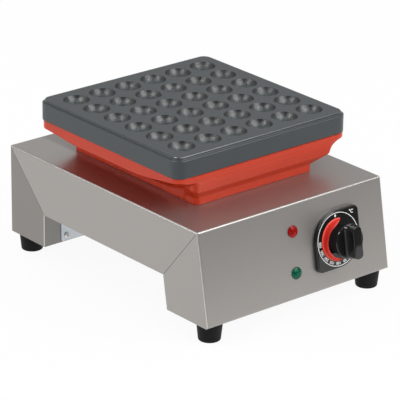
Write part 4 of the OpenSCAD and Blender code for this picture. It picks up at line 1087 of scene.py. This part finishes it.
# The level way from the camera to the object
BEHIND = (0.646, 0.763, 0.0)
DIM_BACKDROP, PALE_BACKDROP, BRIGHT_WALL, PLAIN_CEILING = 0.16, 0.60, 1.25, 0.6
LAMP_DISTANCE, LAMP_AIM = 1.7, Vector((0, 0, 0.12))


def grey(level):
    return level, level, level


def seen_directly(nodes):
    """1 for rays of the camera and of mirror-like surfaces before any matte one, else 0."""
    camera_ray, glossy, through, matte_bounces = (
        nodes.add("ShaderNodeLightPath", output=kind)
        for kind in ("Is Camera Ray", "Is Glossy Ray", "Is Transmission Ray", "Diffuse Depth"))
    return camera_ray.at_least(glossy).at_least(through) * (matte_bounces < 0.5)


def studio_floor():
    mesh = bpy.data.meshes.new("studio_floor")
    corners = [(x * FLOOR_HALF, y * FLOOR_HALF, 0) for x, y in ((-1, -1), (1, -1), (1, 1), (-1, 1))]
    mesh.from_pydata(corners, [], [(0, 1, 2, 3)])
    material = bpy.data.materials.new("studio_floor")
    material.use_nodes = True
    nodes = Nodes(material.node_tree)
    nodes.tree.nodes.clear()
    matte = nodes.add("ShaderNodeBsdfDiffuse", None, {"Color": grey(FLOOR_TONE)})
    white = nodes.add("ShaderNodeEmission", None, {"Color": grey(1.0)})
    unlit = nodes.add("ShaderNodeEmission", None, {"Color": grey(PAST_PAPER_TONE)})
    share = seen_directly(nodes) * WHITE_SHARE
    shown = nodes.add("ShaderNodeMixShader", None, {0: share, 1: matte, 2: white})
    # Shiny surfaces see the pale paper end in front of the object
    place = nodes.add("ShaderNodeTexCoord", output="Object")
    past_paper = nodes.add("ShaderNodeSeparateXYZ", None, {0: place}, "Y") < PAPER_END
    glossy = nodes.add("ShaderNodeLightPath", output="Is Glossy Ray")
    shown = nodes.add("ShaderNodeMixShader", None, {0: past_paper * glossy, 1: shown, 2: unlit})
    out = nodes.tree.nodes.new("ShaderNodeOutputMaterial")
    nodes.tree.links.new(shown.socket, out.inputs["Surface"])
    mesh.materials.append(material)
    floor = new_object("studio_floor", mesh)


def studio_world():
    """Mirror-like surfaces see a backdrop that is pale behind the object and dim on the camera's side.

    Matte surfaces see bright walls and a plainer ceiling.
    """
    world = bpy.data.worlds.new("studio")
    world.use_nodes = True
    bpy.context.scene.world = world
    nodes = Nodes(world.node_tree)
    nodes.tree.nodes.clear()
    toward = nodes.add("ShaderNodeTexCoord", output="Generated")
    behind = nodes.add("ShaderNodeVectorMath", {"operation": "DOT_PRODUCT"},
                       {0: toward, 1: BEHIND}, "Value")
    up = nodes.add("ShaderNodeSeparateXYZ", None, {0: toward}, "Z")
    lit = nodes.eased(behind, -0.35, 0.35) * nodes.eased(up, 0.25, 0.7, 1.0, 0.70)
    backdrop = nodes.mixed(lit, grey(DIM_BACKDROP), grey(PALE_BACKDROP))
    walls = nodes.mixed(nodes.eased(up, 0.35, 0.65), grey(BRIGHT_WALL), grey(PLAIN_CEILING))
    colour = nodes.mixed(seen_directly(nodes), walls, backdrop)
    light = nodes.add("ShaderNodeBackground", None, {"Color": colour})
    out = nodes.tree.nodes.new("ShaderNodeOutputWorld")
    nodes.tree.links.new(light.socket, out.inputs["Surface"])


def softbox(name, direction, side, gloss_power, matte_power):
    """A square studio lamp facing the object, with its own power in reflections and on matte surfaces."""
    aim = Vector(direction).normalized()
    for use, power in (("gloss", gloss_power), ("matte", matte_power)):
        lamp = bpy.data.lights.new(f"{name}_{use}", "AREA")
        lamp.shape, lamp.size, lamp.energy = "SQUARE", side, power
        holder = new_object(f"{name}_{use}", lamp)
        holder.location = LAMP_AIM + aim * LAMP_DISTANCE
        holder.rotation_mode = "QUATERNION"
        holder.rotation_quaternion = aim.to_track_quat("Z", "Y")
        holder.visible_camera = False
        holder.visible_glossy = use == "gloss"
        holder.visible_diffuse = use == "matte"


studio_floor()
studio_world()
softbox("high_left", (-0.624, 0.145, 0.768), 0.75, 12.0, 4.0)
softbox("high_right", (0.246, -0.591, 0.768), 1.3, 25.5, 15.0)
softbox("low_left", (-0.76, 0.53, 0.37), 0.55, 2.6, 4.0)
softbox("low_right", (0.38, -0.845, 0.37), 0.6, 2.5, 7.5)
bpy.context.scene.view_settings.view_transform = "Standard"
